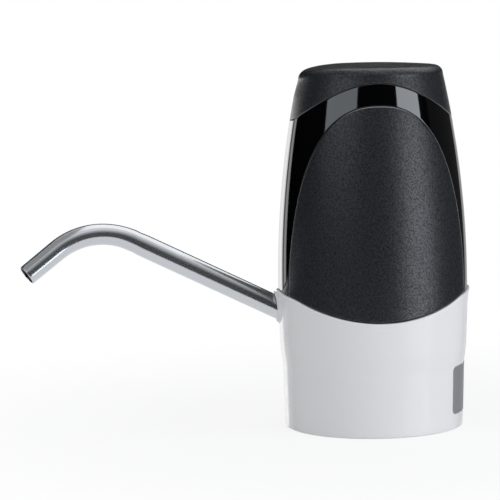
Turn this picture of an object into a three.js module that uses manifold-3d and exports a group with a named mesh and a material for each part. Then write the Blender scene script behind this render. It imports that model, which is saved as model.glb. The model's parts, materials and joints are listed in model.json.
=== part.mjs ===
// Electric pump for large water bottles: it stands on the bottle's mouth and fills a glass through a spout.
// Millimetres, +Z up. Heights are counted from the base rim while it is built, and the finished group is
// lowered so that its origin is the centre of the bottle-mouth seat. The spout points to -X and the
// charging socket to +X.
import * as THREE from 'three';
import { mergeVertices } from 'three/addons/utils/BufferGeometryUtils.js';
import Module from 'manifold-3d';

const wasm = await Module();
wasm.setup();

// Clearances
const seamGap = 0.25;
const fitGap = 0.3;
const runningGap = 0.15;
const restGap = 0.1;
const overrun = 1;

// Facets
const bodySegments = 32;
const bodySteps = 5;
const innerSteps = 2;
const curveSteps = 12;
const archSteps = 14;
const ringSegments = 20;
const smallSegments = 12;
const screwSegments = 8;
const bendSteps = 10;
const spoutSegments = 18;
const socketSegments = 14;
const cornerSegments = 3;
const cordSegments = 6;
const leadSegments = 6;
const leadSteps = 5;
const flankSteps = 2;

// White base: a skirt that slips over the bottle's neck, with a wider upper part
const skirtFlare = 0.55;
const rimRounding = 0.9;
const shoulderStep = 0.9;
const shoulderDrop = 4.5;
const shoulderRise = 10;
const topFlare = 0.95;
const baseLedge = 0.4;
const baseTopRise = 8.11;
const baseWall = 1.8;
const edgeDip = 2.14;
const edgeArcRadius = 66.4;
const flangeInset = 3.2;
const flangeThickness = 2;

// Cup that stops on the bottle's mouth
const seatHeight = 24;
const deckThickness = 4;
const gasketThickness = 1.2;
const gasketWidth = 11.25;
const collarWall = 1;
const collarLift = 1.2;
const gripRibs = 12;
const gripRibDepth = 0.75;
const gripRibWidth = 1.6;
const gripRibGap = 3.8;

// Gear pump
const pumpX = -6;
const gearTeeth = 12;
const gearModule = 0.7;
const dedendumShare = 1.25;
const pressureAngle = THREE.MathUtils.degToRad(25);
const gearBacklash = 0.16;
const gearHeight = 5.6;
const gearSideGap = 0.2;
const pumpWall = 3.6;
const pumpPlateThickness = 3;
const pumpRoofThickness = 3.7;
const pumpCornerRadius = 4;
const portRadius = 1.7;
const pinRadius = 1;
const sealRadius = 2.7;
const sealThickness = 1.4;
const nippleX = 5.5;
const nippleRadius = 3.6;
const nippleBoreRadius = 1.9;
const nippleLength = 14;
const barbRise = 0.7;
const barbs = 3;
const barbShare = 0.8;
const inletCordRadius = 0.8;

// Motor
const motorRadius = 12.2;
const motorLength = 27.5;
const motorWall = 1;
const motorBossRadius = 3;
const motorBossHeight = 1.6;
const motorCapThickness = 3.2;
const motorScrewSpread = 8.5;
const shaftRadius = 1;
const armatureRadius = 8.5;
const armatureLength = 18;
const commutatorRadius = 2.5;
const magnetThickness = 2;
const magnetSpread = THREE.MathUtils.degToRad(62);
const poles = 3;
const poleSpread = THREE.MathUtils.degToRad(50);
const terminalHeight = 3;

// Battery and the chassis that carries it beside the motor
const cellRadius = 9.15;
const cellLength = 65;
const tabThickness = 0.3;
const tabWidth = 5;
const batteryDirection = THREE.MathUtils.degToRad(20);
const slotDirection = THREE.MathUtils.degToRad(-70);
const slotSpread = THREE.MathUtils.degToRad(32);
const chassisThickness = 2;
const cradleWall = 1.2;
const cradleHeight = 59;
const motorRingLength = 22;
const ringFusion = 0.6;

// Control board, switch and charging socket
const wiringRoom = 8;
const boardThickness = 1.6;
const boardRoom = 1.9;
const socketWidth = 7.5;
const socketHeight = 2.6;
const socketDepth = 5.6;
const socketWall = 0.35;
const plugRecessWidth = 11.5;
const plugRecessHeight = 7;
const plugRecessDepth = 1.4;
const switchWidth = 6;
const switchHeight = 3.4;
const plungerRadius = 1.7;
const plungerRise = 1.6;
const headroom = 21.9;

// Housing, side panels and cap
const cellRoom = 3.42;
const bellyRise = 9.11;
const brimTaper = 8.05;
const brimDrop = 4;
const housingWall = 3;
const panelThickness = 1.3;
const panelBackGap = 0.3;
const capDepth = 6;
const seamFall = 18.4;
const seamExponent = 1.8;
const bandWidth = 8;
const archInset = 2.45;
const archDrop = 3.89;
const archExponent = 2.45;
const tongueRise = 2.6;
const tongueWall = 1.3;
const lipWall = 1.8;
const lipRise = 4;
const capWall = 2;
const roofThickness = 2.7;
const crownRise = 0.9;
const brimRounding = 3.2;
const noseDrop = 1.7;
const noseStart = 9;
const noseFade = 8;

// Push button and indicator
const buttonRadius = 8.5;
const buttonDish = 0.5;
const dishShare = 0.8;
const buttonTravel = 0.8;
const buttonPlate = 2;
const buttonFlangeRise = 1.2;
const buttonFlangeHeight = 1.2;
const guideWall = 1.2;
const stemRadius = 1.8;
const lensX = 13;
const lensRadius = 1.4;
const lensFlangeRise = 0.8;
const ledHeight = 2.4;
const ledRadius = 1.5;

// Screws
const baseScrewInset = 2.35;
const baseScrewAngles = [60, 120, 240, 300].map(THREE.MathUtils.degToRad);
const baseScrewRadius = 1.3;
const baseScrewHeadRadius = 2.2;
const baseScrewHeadHeight = 1.4;
const baseScrewLength = 14;
const columnRadius = 2.6;
const columnHeight = 13;
const boardScrewInset = 7.5;
const boardScrewRadius = 0.8;
const boardScrewHeadRadius = 1.9;
const boardScrewHeadHeight = 1.3;
const boardScrewLength = 6;
const pumpScrewRadius = 0.9;
const pumpScrewHeadRadius = 1.8;
const pumpScrewHeadHeight = 1.2;
const postRadius = 2.6;

// Spout: a straight run out of the base, one bend and a short end
const outletLift = 0.65;
const spoutPitch = THREE.MathUtils.degToRad(26.1);
const spoutSwivel = THREE.MathUtils.degToRad(15);
const spoutRadius = 4;
const spoutWall = 0.5;
const spoutStraight = 57.4;
const spoutInsertion = 8.2;
const spoutBendRadius = 25.9;
const spoutBend = THREE.MathUtils.degToRad(64.2);
const spoutEnd = 14.1;
const bossRise = 1;
const bossWall = 0.5;
const sleeveWall = 1.9;
const sleeveLength = 7.6;
const sleeveStart = 2.4;
const ringMinorRadius = 0.42;
const ringPlace = 6.2;
const hoseWall = 1.5;
const hoseNippleRadius = 2.6;
const hoseNippleLength = 2.8;
const bossStand = 1.65;

// Leads
const leadRadius = 0.6;
const leadBow = 2;
const leadEndShare = 0.2;

// Heights, places and radii that follow from the sizes above. Heights stack up from the seat, and the body is
// as wide as the motor and the cell beside it need. The spout's height follows from the pump's outlet.
const shoulderFoot = seatHeight - shoulderDrop;
const shoulderHead = shoulderFoot + shoulderRise;
const gripRibLength = seatHeight - collarLift - gripRibGap;
const deckTop = seatHeight + deckThickness;
const flangeFoot = deckTop + fitGap;
const flangeHead = flangeFoot + flangeThickness;
const chassisFoot = flangeHead + fitGap;
const chassisHead = chassisFoot + chassisThickness;
const columnFoot = chassisHead + fitGap;
const plateFoot = deckTop + fitGap;
const plateHead = plateFoot + pumpPlateThickness;
const cavityFoot = plateHead + fitGap;
const gearFoot = cavityFoot + gearSideGap;
const cavityHead = gearFoot + gearHeight + gearSideGap;
const pumpHead = cavityHead + pumpRoofThickness;
const motorFoot = pumpHead + fitGap;
const motorHead = motorFoot + motorLength;
const motorCapFoot = motorHead + fitGap;
const motorCapHead = motorCapFoot + motorCapThickness;
const cellFoot = chassisHead + restGap + tabThickness + restGap;
const cellHead = cellFoot + cellLength;
const boardFoot = cellHead + restGap + tabThickness + wiringRoom;
const boardHead = boardFoot + boardThickness;
const switchHead = boardHead + restGap + switchHeight;
const plungerHead = switchHead + plungerRise;
const bodyHeight = boardHead + headroom;
const brimHeight = bodyHeight - brimDrop;
const roofFoot = bodyHeight - roofThickness;
const seamPeak = bodyHeight - capDepth;
const archPeak = seamPeak - bandWidth;
const gearDistance = gearTeeth * gearModule;
const gearTipRadius = gearDistance / 2 + gearModule;
const cavityRadius = gearTipRadius + fitGap;
const rotorY = -gearDistance / 2;
const idlerY = gearDistance / 2;
const pumpHalfWidth = cavityRadius + 2 * pumpWall - gearModule * 2;
const pumpHalfLength = gearDistance / 2 + cavityRadius + pumpWall;
const motorBore = motorRadius + fitGap;
const cradleBore = cellRadius + fitGap;
const cellDistance = motorBore + cradleWall + cradleBore + cradleWall - ringFusion;
const cellX = pumpX + cellDistance * Math.cos(batteryDirection);
const cellY = rotorY + cellDistance * Math.sin(batteryDirection);
const cellReach = Math.hypot(cellX, cellY) + cradleBore + cradleWall;
const bellyRadius = cellReach + cellRoom + housingWall;
const brimRadius = bellyRadius - brimTaper;
const crownRadius = brimRadius - brimRounding;
const archHalfWidth = bellyRadius - archInset;
const baseTopRadius = bellyRadius + baseLedge;
const shoulderRadius = baseTopRadius - topFlare;
const skirtTopRadius = shoulderRadius - shoulderStep;
const rimRadius = skirtTopRadius - skirtFlare;
const outletHeight = (cavityFoot + cavityHead) / 2 + outletLift;
const outletReach = pumpHalfWidth - pumpX + bossStand;
const spoutHeight = outletHeight + (baseTopRadius - outletReach) * Math.tan(spoutPitch);
const edgeLow = spoutHeight - edgeDip;
const baseTopHeight = spoutHeight + baseTopRise;
const bellyHeight = spoutHeight + bellyRise;
const archFoot = spoutHeight - archDrop;
const inletSealRadius = nippleRadius + inletCordRadius + 2 * fitGap;
const sealPocketRadius = inletSealRadius + inletCordRadius + fitGap;
const sealPocketFloor = deckTop - 2 * inletCordRadius;
const collarRadius = rimRadius - baseWall - fitGap;
const collarBore = collarRadius - collarWall;
const gasketInnerRadius = collarBore - gasketWidth;
const baseScrewRing = collarBore - baseScrewInset;
const flangeInnerRadius = baseScrewRing - flangeInset;
const sleeveBore = spoutRadius + fitGap;
const sleeveRadius = sleeveBore + sleeveWall;
const ringBore = spoutRadius + runningGap;
const grooveRadius = ringBore + 2 * ringMinorRadius + runningGap;
const hoseBore = hoseNippleRadius + fitGap;
const underBoard = boardFoot - restGap;
const terminalTop = motorCapHead + terminalHeight + restGap;
const leadRise = underBoard - terminalTop;
const cutWidth = 2 * baseTopRadius;

// Turns any closed three.js geometry into a solid with its faces pointing out. A solid stays as it is.
function toSolid(geometry) {
  if (!geometry.isBufferGeometry) return geometry;
  const bare = new THREE.BufferGeometry();
  bare.setAttribute('position', geometry.getAttribute('position').clone());
  if (geometry.index) bare.setIndex(geometry.index.clone());
  const welded = mergeVertices(bare);
  const places = new Float32Array(welded.attributes.position.array);
  const index = welded.index.array;
  const triangles = [];
  let volume = 0;
  const corners = [new THREE.Vector3(), new THREE.Vector3(), new THREE.Vector3()];
  for (let i = 0; i < index.length; i += 3) {
    const [a, b, c] = index.slice(i, i + 3);
    if (a === b || b === c || c === a) continue;
    triangles.push(a, b, c);
    [a, b, c].forEach((vertex, k) => corners[k].fromArray(places, 3 * vertex));
    volume += corners[0].dot(corners[1].cross(corners[2]));
  }
  if (volume < 0) triangles.reverse();
  const mesh = new wasm.Mesh({ numProp: 3, vertProperties: places, triVerts: new Uint32Array(triangles) });
  return new wasm.Manifold(mesh);
}

function toGeometry(solid) {
  const mesh = solid.getMesh();
  const geometry = new THREE.BufferGeometry();
  geometry.setAttribute('position', new THREE.BufferAttribute(new Float32Array(mesh.vertProperties), 3));
  geometry.setIndex(new THREE.BufferAttribute(new Uint32Array(mesh.triVerts), 1));
  return geometry;
}

function join(first, ...others) {
  return others.reduce((whole, other) => whole.add(toSolid(other)), toSolid(first));
}

function cut(body, ...tools) {
  return tools.reduce((rest, tool) => rest.subtract(toSolid(tool)), toSolid(body));
}

function common(first, ...others) {
  return others.reduce((part, other) => part.intersect(toSolid(other)), toSolid(first));
}

// A closed profile of [radius, height] points turned about Z.
function revolve(profile, segments = bodySegments) {
  const points = profile.map(([radius, height]) => new THREE.Vector2(radius, height));
  const open = profile[0][0] > 0 || profile[profile.length - 1][0] > 0;
  if (open) points.push(points[0].clone());
  return new THREE.LatheGeometry(points, segments).rotateX(Math.PI / 2);
}

function rod(radius, foot, head, segments = smallSegments) {
  const height = head - foot;
  return new THREE.CylinderGeometry(radius, radius, height, segments)
    .rotateX(Math.PI / 2)
    .translate(0, 0, foot + height / 2);
}

function tube(outer, inner, foot, head, segments = smallSegments) {
  return revolve([[inner, foot], [outer, foot], [outer, head], [inner, head]], segments);
}

function box(x0, x1, y0, y1, z0, z1) {
  return new THREE.BoxGeometry(x1 - x0, y1 - y0, z1 - z0)
    .translate((x0 + x1) / 2, (y0 + y1) / 2, (z0 + z1) / 2);
}

function prism(shape, foot, head) {
  const options = { depth: head - foot, bevelEnabled: false, curveSegments: cornerSegments };
  return new THREE.ExtrudeGeometry(shape, options).translate(0, 0, foot);
}

// A shape drawn in the XZ plane and carried along Y.
function sideways(shape, from, to) {
  const options = { depth: to - from, bevelEnabled: false };
  return new THREE.ExtrudeGeometry(shape, options).rotateX(Math.PI / 2).translate(0, to, 0);
}

function roundedRectangle(x0, x1, y0, y1, radius) {
  const shape = new THREE.Shape();
  shape.absarc(x1 - radius, y0 + radius, radius, -Math.PI / 2, 0);
  shape.absarc(x1 - radius, y1 - radius, radius, 0, Math.PI / 2);
  shape.absarc(x0 + radius, y1 - radius, radius, Math.PI / 2, Math.PI);
  shape.absarc(x0 + radius, y0 + radius, radius, Math.PI, 1.5 * Math.PI);
  return shape;
}

function levels(from, to, steps) {
  return Array.from({ length: steps + 1 }, (_, i) => THREE.MathUtils.lerp(from, to, i / steps));
}

function around(radius, angle) {
  return [radius * Math.cos(angle), radius * Math.sin(angle)];
}

// Outer form of the housing: one long arc, upright at the belly and drawn in towards the brim.
const bodyArcRadius = ((brimHeight - bellyHeight) ** 2 + (bellyRadius - brimRadius) ** 2)
  / (2 * (bellyRadius - brimRadius));

function bodyRadius(height) {
  return bellyRadius - bodyArcRadius + Math.sqrt(bodyArcRadius ** 2 - (height - bellyHeight) ** 2);
}

const boardRadius = bodyRadius(boardHead) - housingWall - boardRoom;
const boardScrewY = boardRadius - boardScrewInset;
const socketMiddle = underBoard - socketHeight / 2;
const socketFront = bodyRadius(socketMiddle) - plugRecessDepth - fitGap - seamGap;

// Outer form of the base: a nearly upright skirt, a soft shoulder and a flared top.
function baseRadius(height) {
  if (height <= shoulderFoot) return THREE.MathUtils.lerp(rimRadius, skirtTopRadius, height / shoulderFoot);
  if (height <= shoulderHead) {
    const share = THREE.MathUtils.smoothstep(height, shoulderFoot, shoulderHead);
    return THREE.MathUtils.lerp(skirtTopRadius, shoulderRadius, share);
  }
  return THREE.MathUtils.mapLinear(height, shoulderHead, baseTopHeight, shoulderRadius, baseTopRadius);
}

// The base's top edge is an arc that dips at the sides of the pump and rises at its front and rear.
function edgeHeight(x, gap = 0) {
  return edgeLow + edgeArcRadius - Math.sqrt((edgeArcRadius - gap) ** 2 - x ** 2);
}

// The cap's lower edge is highest over the side panels and falls with a power of the distance from there.
function seamHeight(x, gap = 0) {
  return seamPeak + gap - seamFall * (Math.abs(x) / bellyRadius) ** seamExponent;
}

function aboveCurve(heightAt, halfWidth, steps) {
  const line = levels(Math.PI / 2, -Math.PI / 2, steps).map((turn) => halfWidth * Math.sin(turn));
  const top = bodyHeight + cutWidth;
  const shape = new THREE.Shape();
  shape.moveTo(-halfWidth, top);
  shape.lineTo(halfWidth, top);
  line.forEach((x) => shape.lineTo(x, heightAt(x)));
  return sideways(shape, -cutWidth, cutWidth);
}

function aboveEdge(gap) {
  return aboveCurve((x) => edgeHeight(x, gap), baseTopRadius + overrun, curveSteps);
}

function aboveSeam(gap) {
  return aboveCurve((x) => seamHeight(x, gap), bellyRadius, curveSteps);
}

// The arch that frames a side panel, half a superellipse. Its foot is below the base's edge.
function archPrism(gap, from, to) {
  const halfWidth = archHalfWidth + gap;
  const rise = archPeak - archFoot + gap;
  const shape = new THREE.Shape();
  shape.moveTo(-halfWidth, flangeHead);
  shape.lineTo(halfWidth, flangeHead);
  levels(0, Math.PI, archSteps).forEach((turn) => {
    const x = halfWidth * Math.sign(Math.cos(turn)) * Math.abs(Math.cos(turn)) ** (2 / archExponent);
    shape.lineTo(x, archFoot + rise * Math.abs(Math.sin(turn)) ** (2 / archExponent));
  });
  return sideways(shape, from, to);
}

// A shell between two offsets of the housing's outer form.
function bodyShell(outerOffset, innerOffset, foot, head, steps = bodySteps) {
  const wall = (offset) => (height) => [bodyRadius(height) + offset, height];
  return revolve([
    ...levels(foot, head, steps).map(wall(outerOffset)),
    ...levels(head, foot, Math.min(steps, innerSteps)).map(wall(innerOffset)),
  ]);
}

// The pump's outlet stands off its block, in line with the spout.
const pumpBossStart = (baseRadius(spoutHeight) - outletReach) / Math.cos(spoutPitch);

// The spout's frame: its X axis runs out along the straight part, its Z axis stands square to it.
const spoutEntry = new THREE.Vector3(-baseRadius(spoutHeight), 0, spoutHeight);
const spoutAxis = new THREE.Vector3(-Math.cos(spoutPitch), 0, Math.sin(spoutPitch));
const spoutUp = new THREE.Vector3(Math.sin(spoutPitch), 0, Math.cos(spoutPitch));
const spoutSide = new THREE.Vector3().crossVectors(spoutUp, spoutAxis);
const spoutFrame = new THREE.Matrix4().makeBasis(spoutAxis, spoutSide, spoutUp).setPosition(spoutEntry);

// A piece turned about the spout's straight axis, with distances counted inwards from the base wall.
function alongSpout(geometry) {
  return geometry.rotateY(-Math.PI / 2);
}

function inSpoutFrame(geometry) {
  return alongSpout(geometry).applyMatrix4(spoutFrame);
}

// One copy of a piece at each base screw.
function atBaseScrews(makePiece) {
  return baseScrewAngles.map((angle) => makePiece().translate(...around(baseScrewRing, angle), 0));
}

// One copy of a piece at each of the two screws that hold the motor to the pump.
function atPumpScrews(makePiece) {
  return [-1, 1].map((side) => makePiece().translate(pumpX + side * motorScrewSpread, rotorY, 0));
}

// One copy of a piece at each of the two screws that hold the board to the cap.
function atBoardScrews(makePiece) {
  return [-1, 1].map((side) => makePiece().translate(0, side * boardScrewY, 0));
}

function makeBaseShell() {
  const reach = edgeHeight(baseTopRadius) + overrun;
  const inner = (height) => [baseRadius(height) - baseWall, height];
  const outerHeights = [rimRounding, ...levels(shoulderFoot, shoulderHead, 3), reach];
  const shell = revolve([
    [rimRadius - baseWall, 0],
    [rimRadius - rimRounding / 2, 0],
    ...outerHeights.map((height) => [baseRadius(height), height]),
    inner(reach),
    inner(flangeHead),
    [flangeInnerRadius, flangeHead],
    [flangeInnerRadius, flangeFoot],
    inner(flangeFoot),
    inner(shoulderFoot),
  ]);
  const bossOuter = (height) => [baseRadius(height) + bossRise, height];
  const bossHeights = [spoutHeight - 2 * spoutRadius, spoutHeight + 2 * spoutRadius];
  const bossRing = revolve([...bossHeights.map(inner), ...bossHeights.reverse().map(bossOuter)]);
  const bossRod = inSpoutFrame(rod(sleeveBore + bossWall, -2 * spoutRadius, 2 * spoutRadius, socketSegments));
  const hole = inSpoutFrame(rod(sleeveBore, -3 * spoutRadius, 3 * spoutRadius, socketSegments));
  const screwHoles = atBaseScrews(() => rod(baseScrewRadius + fitGap, deckTop, chassisFoot, screwSegments));
  return cut(join(cut(shell, aboveEdge(0)), common(bossRing, bossRod)), hole, ...screwHoles);
}

function makeBottleCup() {
  const grooveHeight = seatHeight + gasketThickness + restGap;
  const cup = revolve([
    [0, seatHeight],
    [gasketInnerRadius - fitGap, seatHeight],
    [gasketInnerRadius - fitGap, grooveHeight],
    [collarBore, grooveHeight],
    [collarBore, collarLift],
    [collarRadius, collarLift],
    [collarRadius, deckTop],
    [0, deckTop],
  ]);
  const ribs = Array.from({ length: gripRibs }, (_, i) => {
    const rib = box(collarBore - gripRibDepth, collarBore + collarWall / 2, -gripRibWidth / 2,
      gripRibWidth / 2, collarLift, collarLift + gripRibLength);
    return rib.rotateZ((2 * Math.PI * (i + 0.5)) / gripRibs);
  });
  const nippleHole = rod(nippleRadius + barbRise + fitGap, 0, deckTop + overrun).translate(nippleX, 0, 0);
  const sealPocket = rod(sealPocketRadius, sealPocketFloor, deckTop + overrun).translate(nippleX, 0, 0);
  const headFloor = grooveHeight + baseScrewHeadHeight + fitGap;
  const headHoles = atBaseScrews(() => rod(baseScrewHeadRadius + fitGap, seatHeight, headFloor, screwSegments));
  const shankHoles = atBaseScrews(() => rod(baseScrewRadius + fitGap, seatHeight, deckTop + overrun,
    screwSegments));
  return cut(join(cup, ...ribs), nippleHole, sealPocket, ...headHoles, ...shankHoles);
}

// The inlet seal is a cord ring round the nipple's root, in a pocket of the deck.
function makeInletSeal() {
  return new THREE.TorusGeometry(inletSealRadius, inletCordRadius, cordSegments, smallSegments)
    .translate(nippleX, 0, sealPocketFloor + inletCordRadius + restGap);
}

function makeGasket() {
  const outer = collarBore - fitGap;
  return tube(outer, gasketInnerRadius, seatHeight, seatHeight + gasketThickness, ringSegments);
}

function makeBaseScrew() {
  const head = seatHeight + gasketThickness + 2 * restGap;
  return revolve([
    [0, head],
    [baseScrewHeadRadius, head],
    [baseScrewHeadRadius, head + baseScrewHeadHeight],
    [baseScrewRadius, head + baseScrewHeadHeight],
    [baseScrewRadius, head + baseScrewLength],
    [0, head + baseScrewLength + baseScrewRadius],
  ], screwSegments);
}

function pumpOutline(gap) {
  const halfWidth = pumpHalfWidth + gap;
  const halfLength = pumpHalfLength + gap;
  return roundedRectangle(pumpX - halfWidth, pumpX + halfWidth, -halfLength, halfLength, pumpCornerRadius);
}

// Pump plate: closes the gear cavity from below and carries the barbed inlet nipple.
function makePumpCover() {
  const pad = rod(nippleRadius + pumpWall / 2, plateFoot, plateHead).translate(nippleX, 0, 0);
  const tip = seatHeight - nippleLength;
  const pitch = (nippleLength - overrun) / (barbs + 1);
  const profile = [[nippleBoreRadius, plateFoot + overrun], [nippleBoreRadius, tip]];
  for (let i = 0; i < barbs; i += 1) {
    profile.push([nippleRadius - barbRise, tip + i * pitch]);
    profile.push([nippleRadius + barbRise, tip + (i + barbShare) * pitch]);
    profile.push([nippleRadius - barbRise, tip + (i + barbShare) * pitch]);
  }
  profile.push([nippleRadius - barbRise, tip + barbs * pitch]);
  profile.push([nippleRadius, tip + (barbs + 0.5) * pitch]);
  profile.push([nippleRadius, plateFoot + overrun]);
  const nipple = revolve(profile, smallSegments).translate(nippleX, 0, 0);
  const channelFloor = plateHead - pumpPlateThickness / 2;
  const inletX = pumpX + portRadius;
  const channel = box(inletX, nippleX, -nippleBoreRadius, nippleBoreRadius, channelFloor,
    plateHead + overrun);
  const bore = rod(nippleBoreRadius, tip - overrun, channelFloor + overrun).translate(nippleX, 0, 0);
  const pinHole = rod(pinRadius + runningGap, plateHead - overrun, plateHead + overrun, screwSegments)
    .translate(pumpX, idlerY, 0);
  const headFloor = plateFoot + pumpScrewHeadHeight + fitGap;
  const headHoles = atPumpScrews(() => rod(pumpScrewHeadRadius + fitGap, deckTop, headFloor, screwSegments));
  const shankHoles = atPumpScrews(() => rod(pumpScrewRadius + fitGap, deckTop, plateHead + overrun,
    screwSegments));
  return cut(join(prism(pumpOutline(0), plateFoot, plateHead), pad, nipple), channel, bore, pinHole,
    ...headHoles, ...shankHoles);
}

// Pump body: two round gear pockets, a port at each side of the mesh and the outlet nipple in line with the
// spout.
function makePumpHousing() {
  const block = prism(pumpOutline(0), cavityFoot, pumpHead);
  const bossRadius = hoseBore + hoseWall;
  const outlet = join(
    inSpoutFrame(rod(bossRadius, pumpBossStart, pumpBossStart + 2 * bossRadius)),
    inSpoutFrame(rod(hoseNippleRadius, pumpBossStart - hoseNippleLength - fitGap, pumpBossStart + overrun)),
  );
  const room = box(pumpX - 3 * pumpHalfWidth, pumpX, -pumpHalfLength, pumpHalfLength, cavityFoot, pumpHead);
  const body = join(block, common(outlet, room));
  const pockets = [rotorY, idlerY].map((y) => rod(cavityRadius, cavityFoot - overrun, cavityHead,
    ringSegments).translate(pumpX, y, 0));
  const ports = box(pumpX - cavityRadius, pumpX + cavityRadius + portRadius, -portRadius, portRadius,
    cavityFoot - overrun, cavityHead);
  const outletBore = inSpoutFrame(rod(portRadius, pumpBossStart - 2 * hoseNippleLength,
    pumpBossStart + 2 * hoseNippleRadius));
  const drilling = rod(portRadius, 0, cavityRadius + pumpWall + pumpWall / 2).rotateY(-Math.PI / 2)
    .translate(pumpX - portRadius, 0, (cavityFoot + cavityHead) / 2);
  const shaftHole = rod(shaftRadius + fitGap, cavityFoot, pumpHead + overrun, screwSegments)
    .translate(pumpX, rotorY, 0);
  const sealPocket = rod(sealRadius + fitGap, cavityFoot, cavityHead + sealThickness + restGap)
    .translate(pumpX, rotorY, 0);
  const bossPocket = rod(motorBossRadius + fitGap, pumpHead - motorBossHeight, pumpHead + overrun)
    .translate(pumpX, rotorY, 0);
  const pinHole = rod(pinRadius + runningGap, cavityFoot, cavityHead + pumpRoofThickness / 2, screwSegments)
    .translate(pumpX, idlerY, 0);
  const screwHoles = atPumpScrews(() => rod(pumpScrewRadius + fitGap, cavityFoot - overrun,
    pumpHead + overrun, screwSegments));
  return cut(body, ...pockets, ports, outletBore, drilling, shaftHole, sealPocket, bossPocket, pinHole,
    ...screwHoles);
}

// An involute spur gear. Each flank runs from the root, or the base circle, out to the tip.
function gearShape(bore, turn) {
  const pitchRadius = (gearTeeth * gearModule) / 2;
  const baseCircle = pitchRadius * Math.cos(pressureAngle);
  const rootRadius = pitchRadius - dedendumShare * gearModule;
  const involute = (radius) => {
    const roll = Math.sqrt(Math.max((radius / baseCircle) ** 2 - 1, 0));
    return roll - Math.atan(roll);
  };
  const halfTooth = Math.PI / (2 * gearTeeth) - gearBacklash / (2 * pitchRadius) + involute(pitchRadius);
  const flank = [rootRadius, ...levels(baseCircle, gearTipRadius, flankSteps)];
  const shape = new THREE.Shape();
  for (let tooth = 0; tooth < gearTeeth; tooth += 1) {
    const middle = turn + (2 * Math.PI * tooth) / gearTeeth;
    const rising = flank.map((radius) => around(radius, middle - halfTooth + involute(radius)));
    const falling = flank.map((radius) => around(radius, middle + halfTooth - involute(radius))).reverse();
    [...rising, ...falling].forEach(([x, y], i) => {
      if (tooth === 0 && i === 0) shape.moveTo(x, y);
      else shape.lineTo(x, y);
    });
  }
  const hole = new THREE.Path();
  hole.absarc(0, 0, bore, 0, 2 * Math.PI, true);
  shape.holes.push(hole);
  return shape;
}

function makeGear(bore, turn) {
  return prism(gearShape(bore, turn), gearFoot, gearFoot + gearHeight);
}

function makeIdlerPin() {
  const head = cavityHead + pumpRoofThickness / 2 - restGap;
  return rod(pinRadius, plateHead - overrun + restGap, head, screwSegments);
}

function makeShaft() {
  return rod(shaftRadius, gearFoot + restGap, motorCapHead - restGap, screwSegments);
}

function makeShaftSeal() {
  return tube(sealRadius, shaftRadius + runningGap, gearFoot + gearHeight + gearSideGap + restGap,
    cavityHead + sealThickness);
}

function makePumpScrew() {
  const foot = plateFoot + restGap;
  return revolve([
    [0, foot],
    [pumpScrewHeadRadius, foot],
    [pumpScrewHeadRadius, foot + pumpScrewHeadHeight],
    [pumpScrewRadius, foot + pumpScrewHeadHeight],
    [pumpScrewRadius, motorFoot + overrun],
    [0, motorFoot + overrun],
  ], screwSegments);
}

function makeMotorCan() {
  const can = revolve([
    [shaftRadius + fitGap, motorFoot - motorBossHeight + restGap],
    [motorBossRadius, motorFoot - motorBossHeight + restGap],
    [motorBossRadius, motorFoot],
    [motorRadius, motorFoot],
    [motorRadius, motorHead],
    [motorRadius - motorWall, motorHead],
    [motorRadius - motorWall, motorFoot + motorWall],
    [shaftRadius + fitGap, motorFoot + motorWall],
  ], ringSegments);
  const screwHoles = [-1, 1].map((side) => rod(pumpScrewRadius + fitGap, pumpHead, motorFoot + 2 * motorWall,
    screwSegments).translate(side * motorScrewSpread, 0, 0));
  return cut(can, ...screwHoles);
}

function makeMagnet(facing) {
  const outer = motorRadius - motorWall - fitGap;
  const shape = new THREE.Shape();
  shape.absarc(0, 0, outer, facing - magnetSpread, facing + magnetSpread);
  shape.absarc(0, 0, outer - magnetThickness, facing + magnetSpread, facing - magnetSpread, true);
  const middle = (motorFoot + motorHead) / 2;
  return prism(shape, middle - armatureLength / 2, middle + armatureLength / 2);
}

// Three poles with wide shoes round a slim core, and the commutator above them.
function makeArmature() {
  const middle = (motorFoot + motorHead) / 2;
  const foot = middle - armatureLength / 2;
  const head = middle + armatureLength / 2;
  const coreRadius = armatureRadius / 2;
  const arms = Array.from({ length: poles }, (_, i) => {
    const shoe = new THREE.Shape();
    shoe.absarc(0, 0, armatureRadius, -poleSpread, poleSpread);
    shoe.absarc(0, 0, armatureRadius - magnetThickness, poleSpread, -poleSpread, true);
    const stem = box(0, armatureRadius - magnetThickness / 2, -coreRadius / 2, coreRadius / 2, foot, head);
    return [prism(shoe, foot, head), stem].map((piece) => piece.rotateZ((2 * Math.PI * i) / poles));
  }).flat();
  const core = rod(coreRadius, foot, head);
  const commutator = rod(commutatorRadius, foot, motorHead - overrun);
  const bore = rod(shaftRadius + runningGap, foot - overrun, motorHead + overrun, screwSegments);
  return cut(join(core, commutator, ...arms), bore);
}

function makeMotorCap() {
  const disc = revolve([
    [shaftRadius + fitGap, motorCapFoot],
    [motorRadius, motorCapFoot],
    [motorRadius, motorCapHead - motorWall],
    [motorRadius - motorWall, motorCapHead],
    [shaftRadius + fitGap, motorCapHead],
  ], ringSegments);
  const terminals = [-1, 1].map((side) => box(side * commutatorRadius * 2 - tabWidth / 4,
    side * commutatorRadius * 2 + tabWidth / 4, -tabThickness, tabThickness, motorCapHead - overrun,
    motorCapHead + terminalHeight));
  return join(disc, ...terminals);
}

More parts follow.
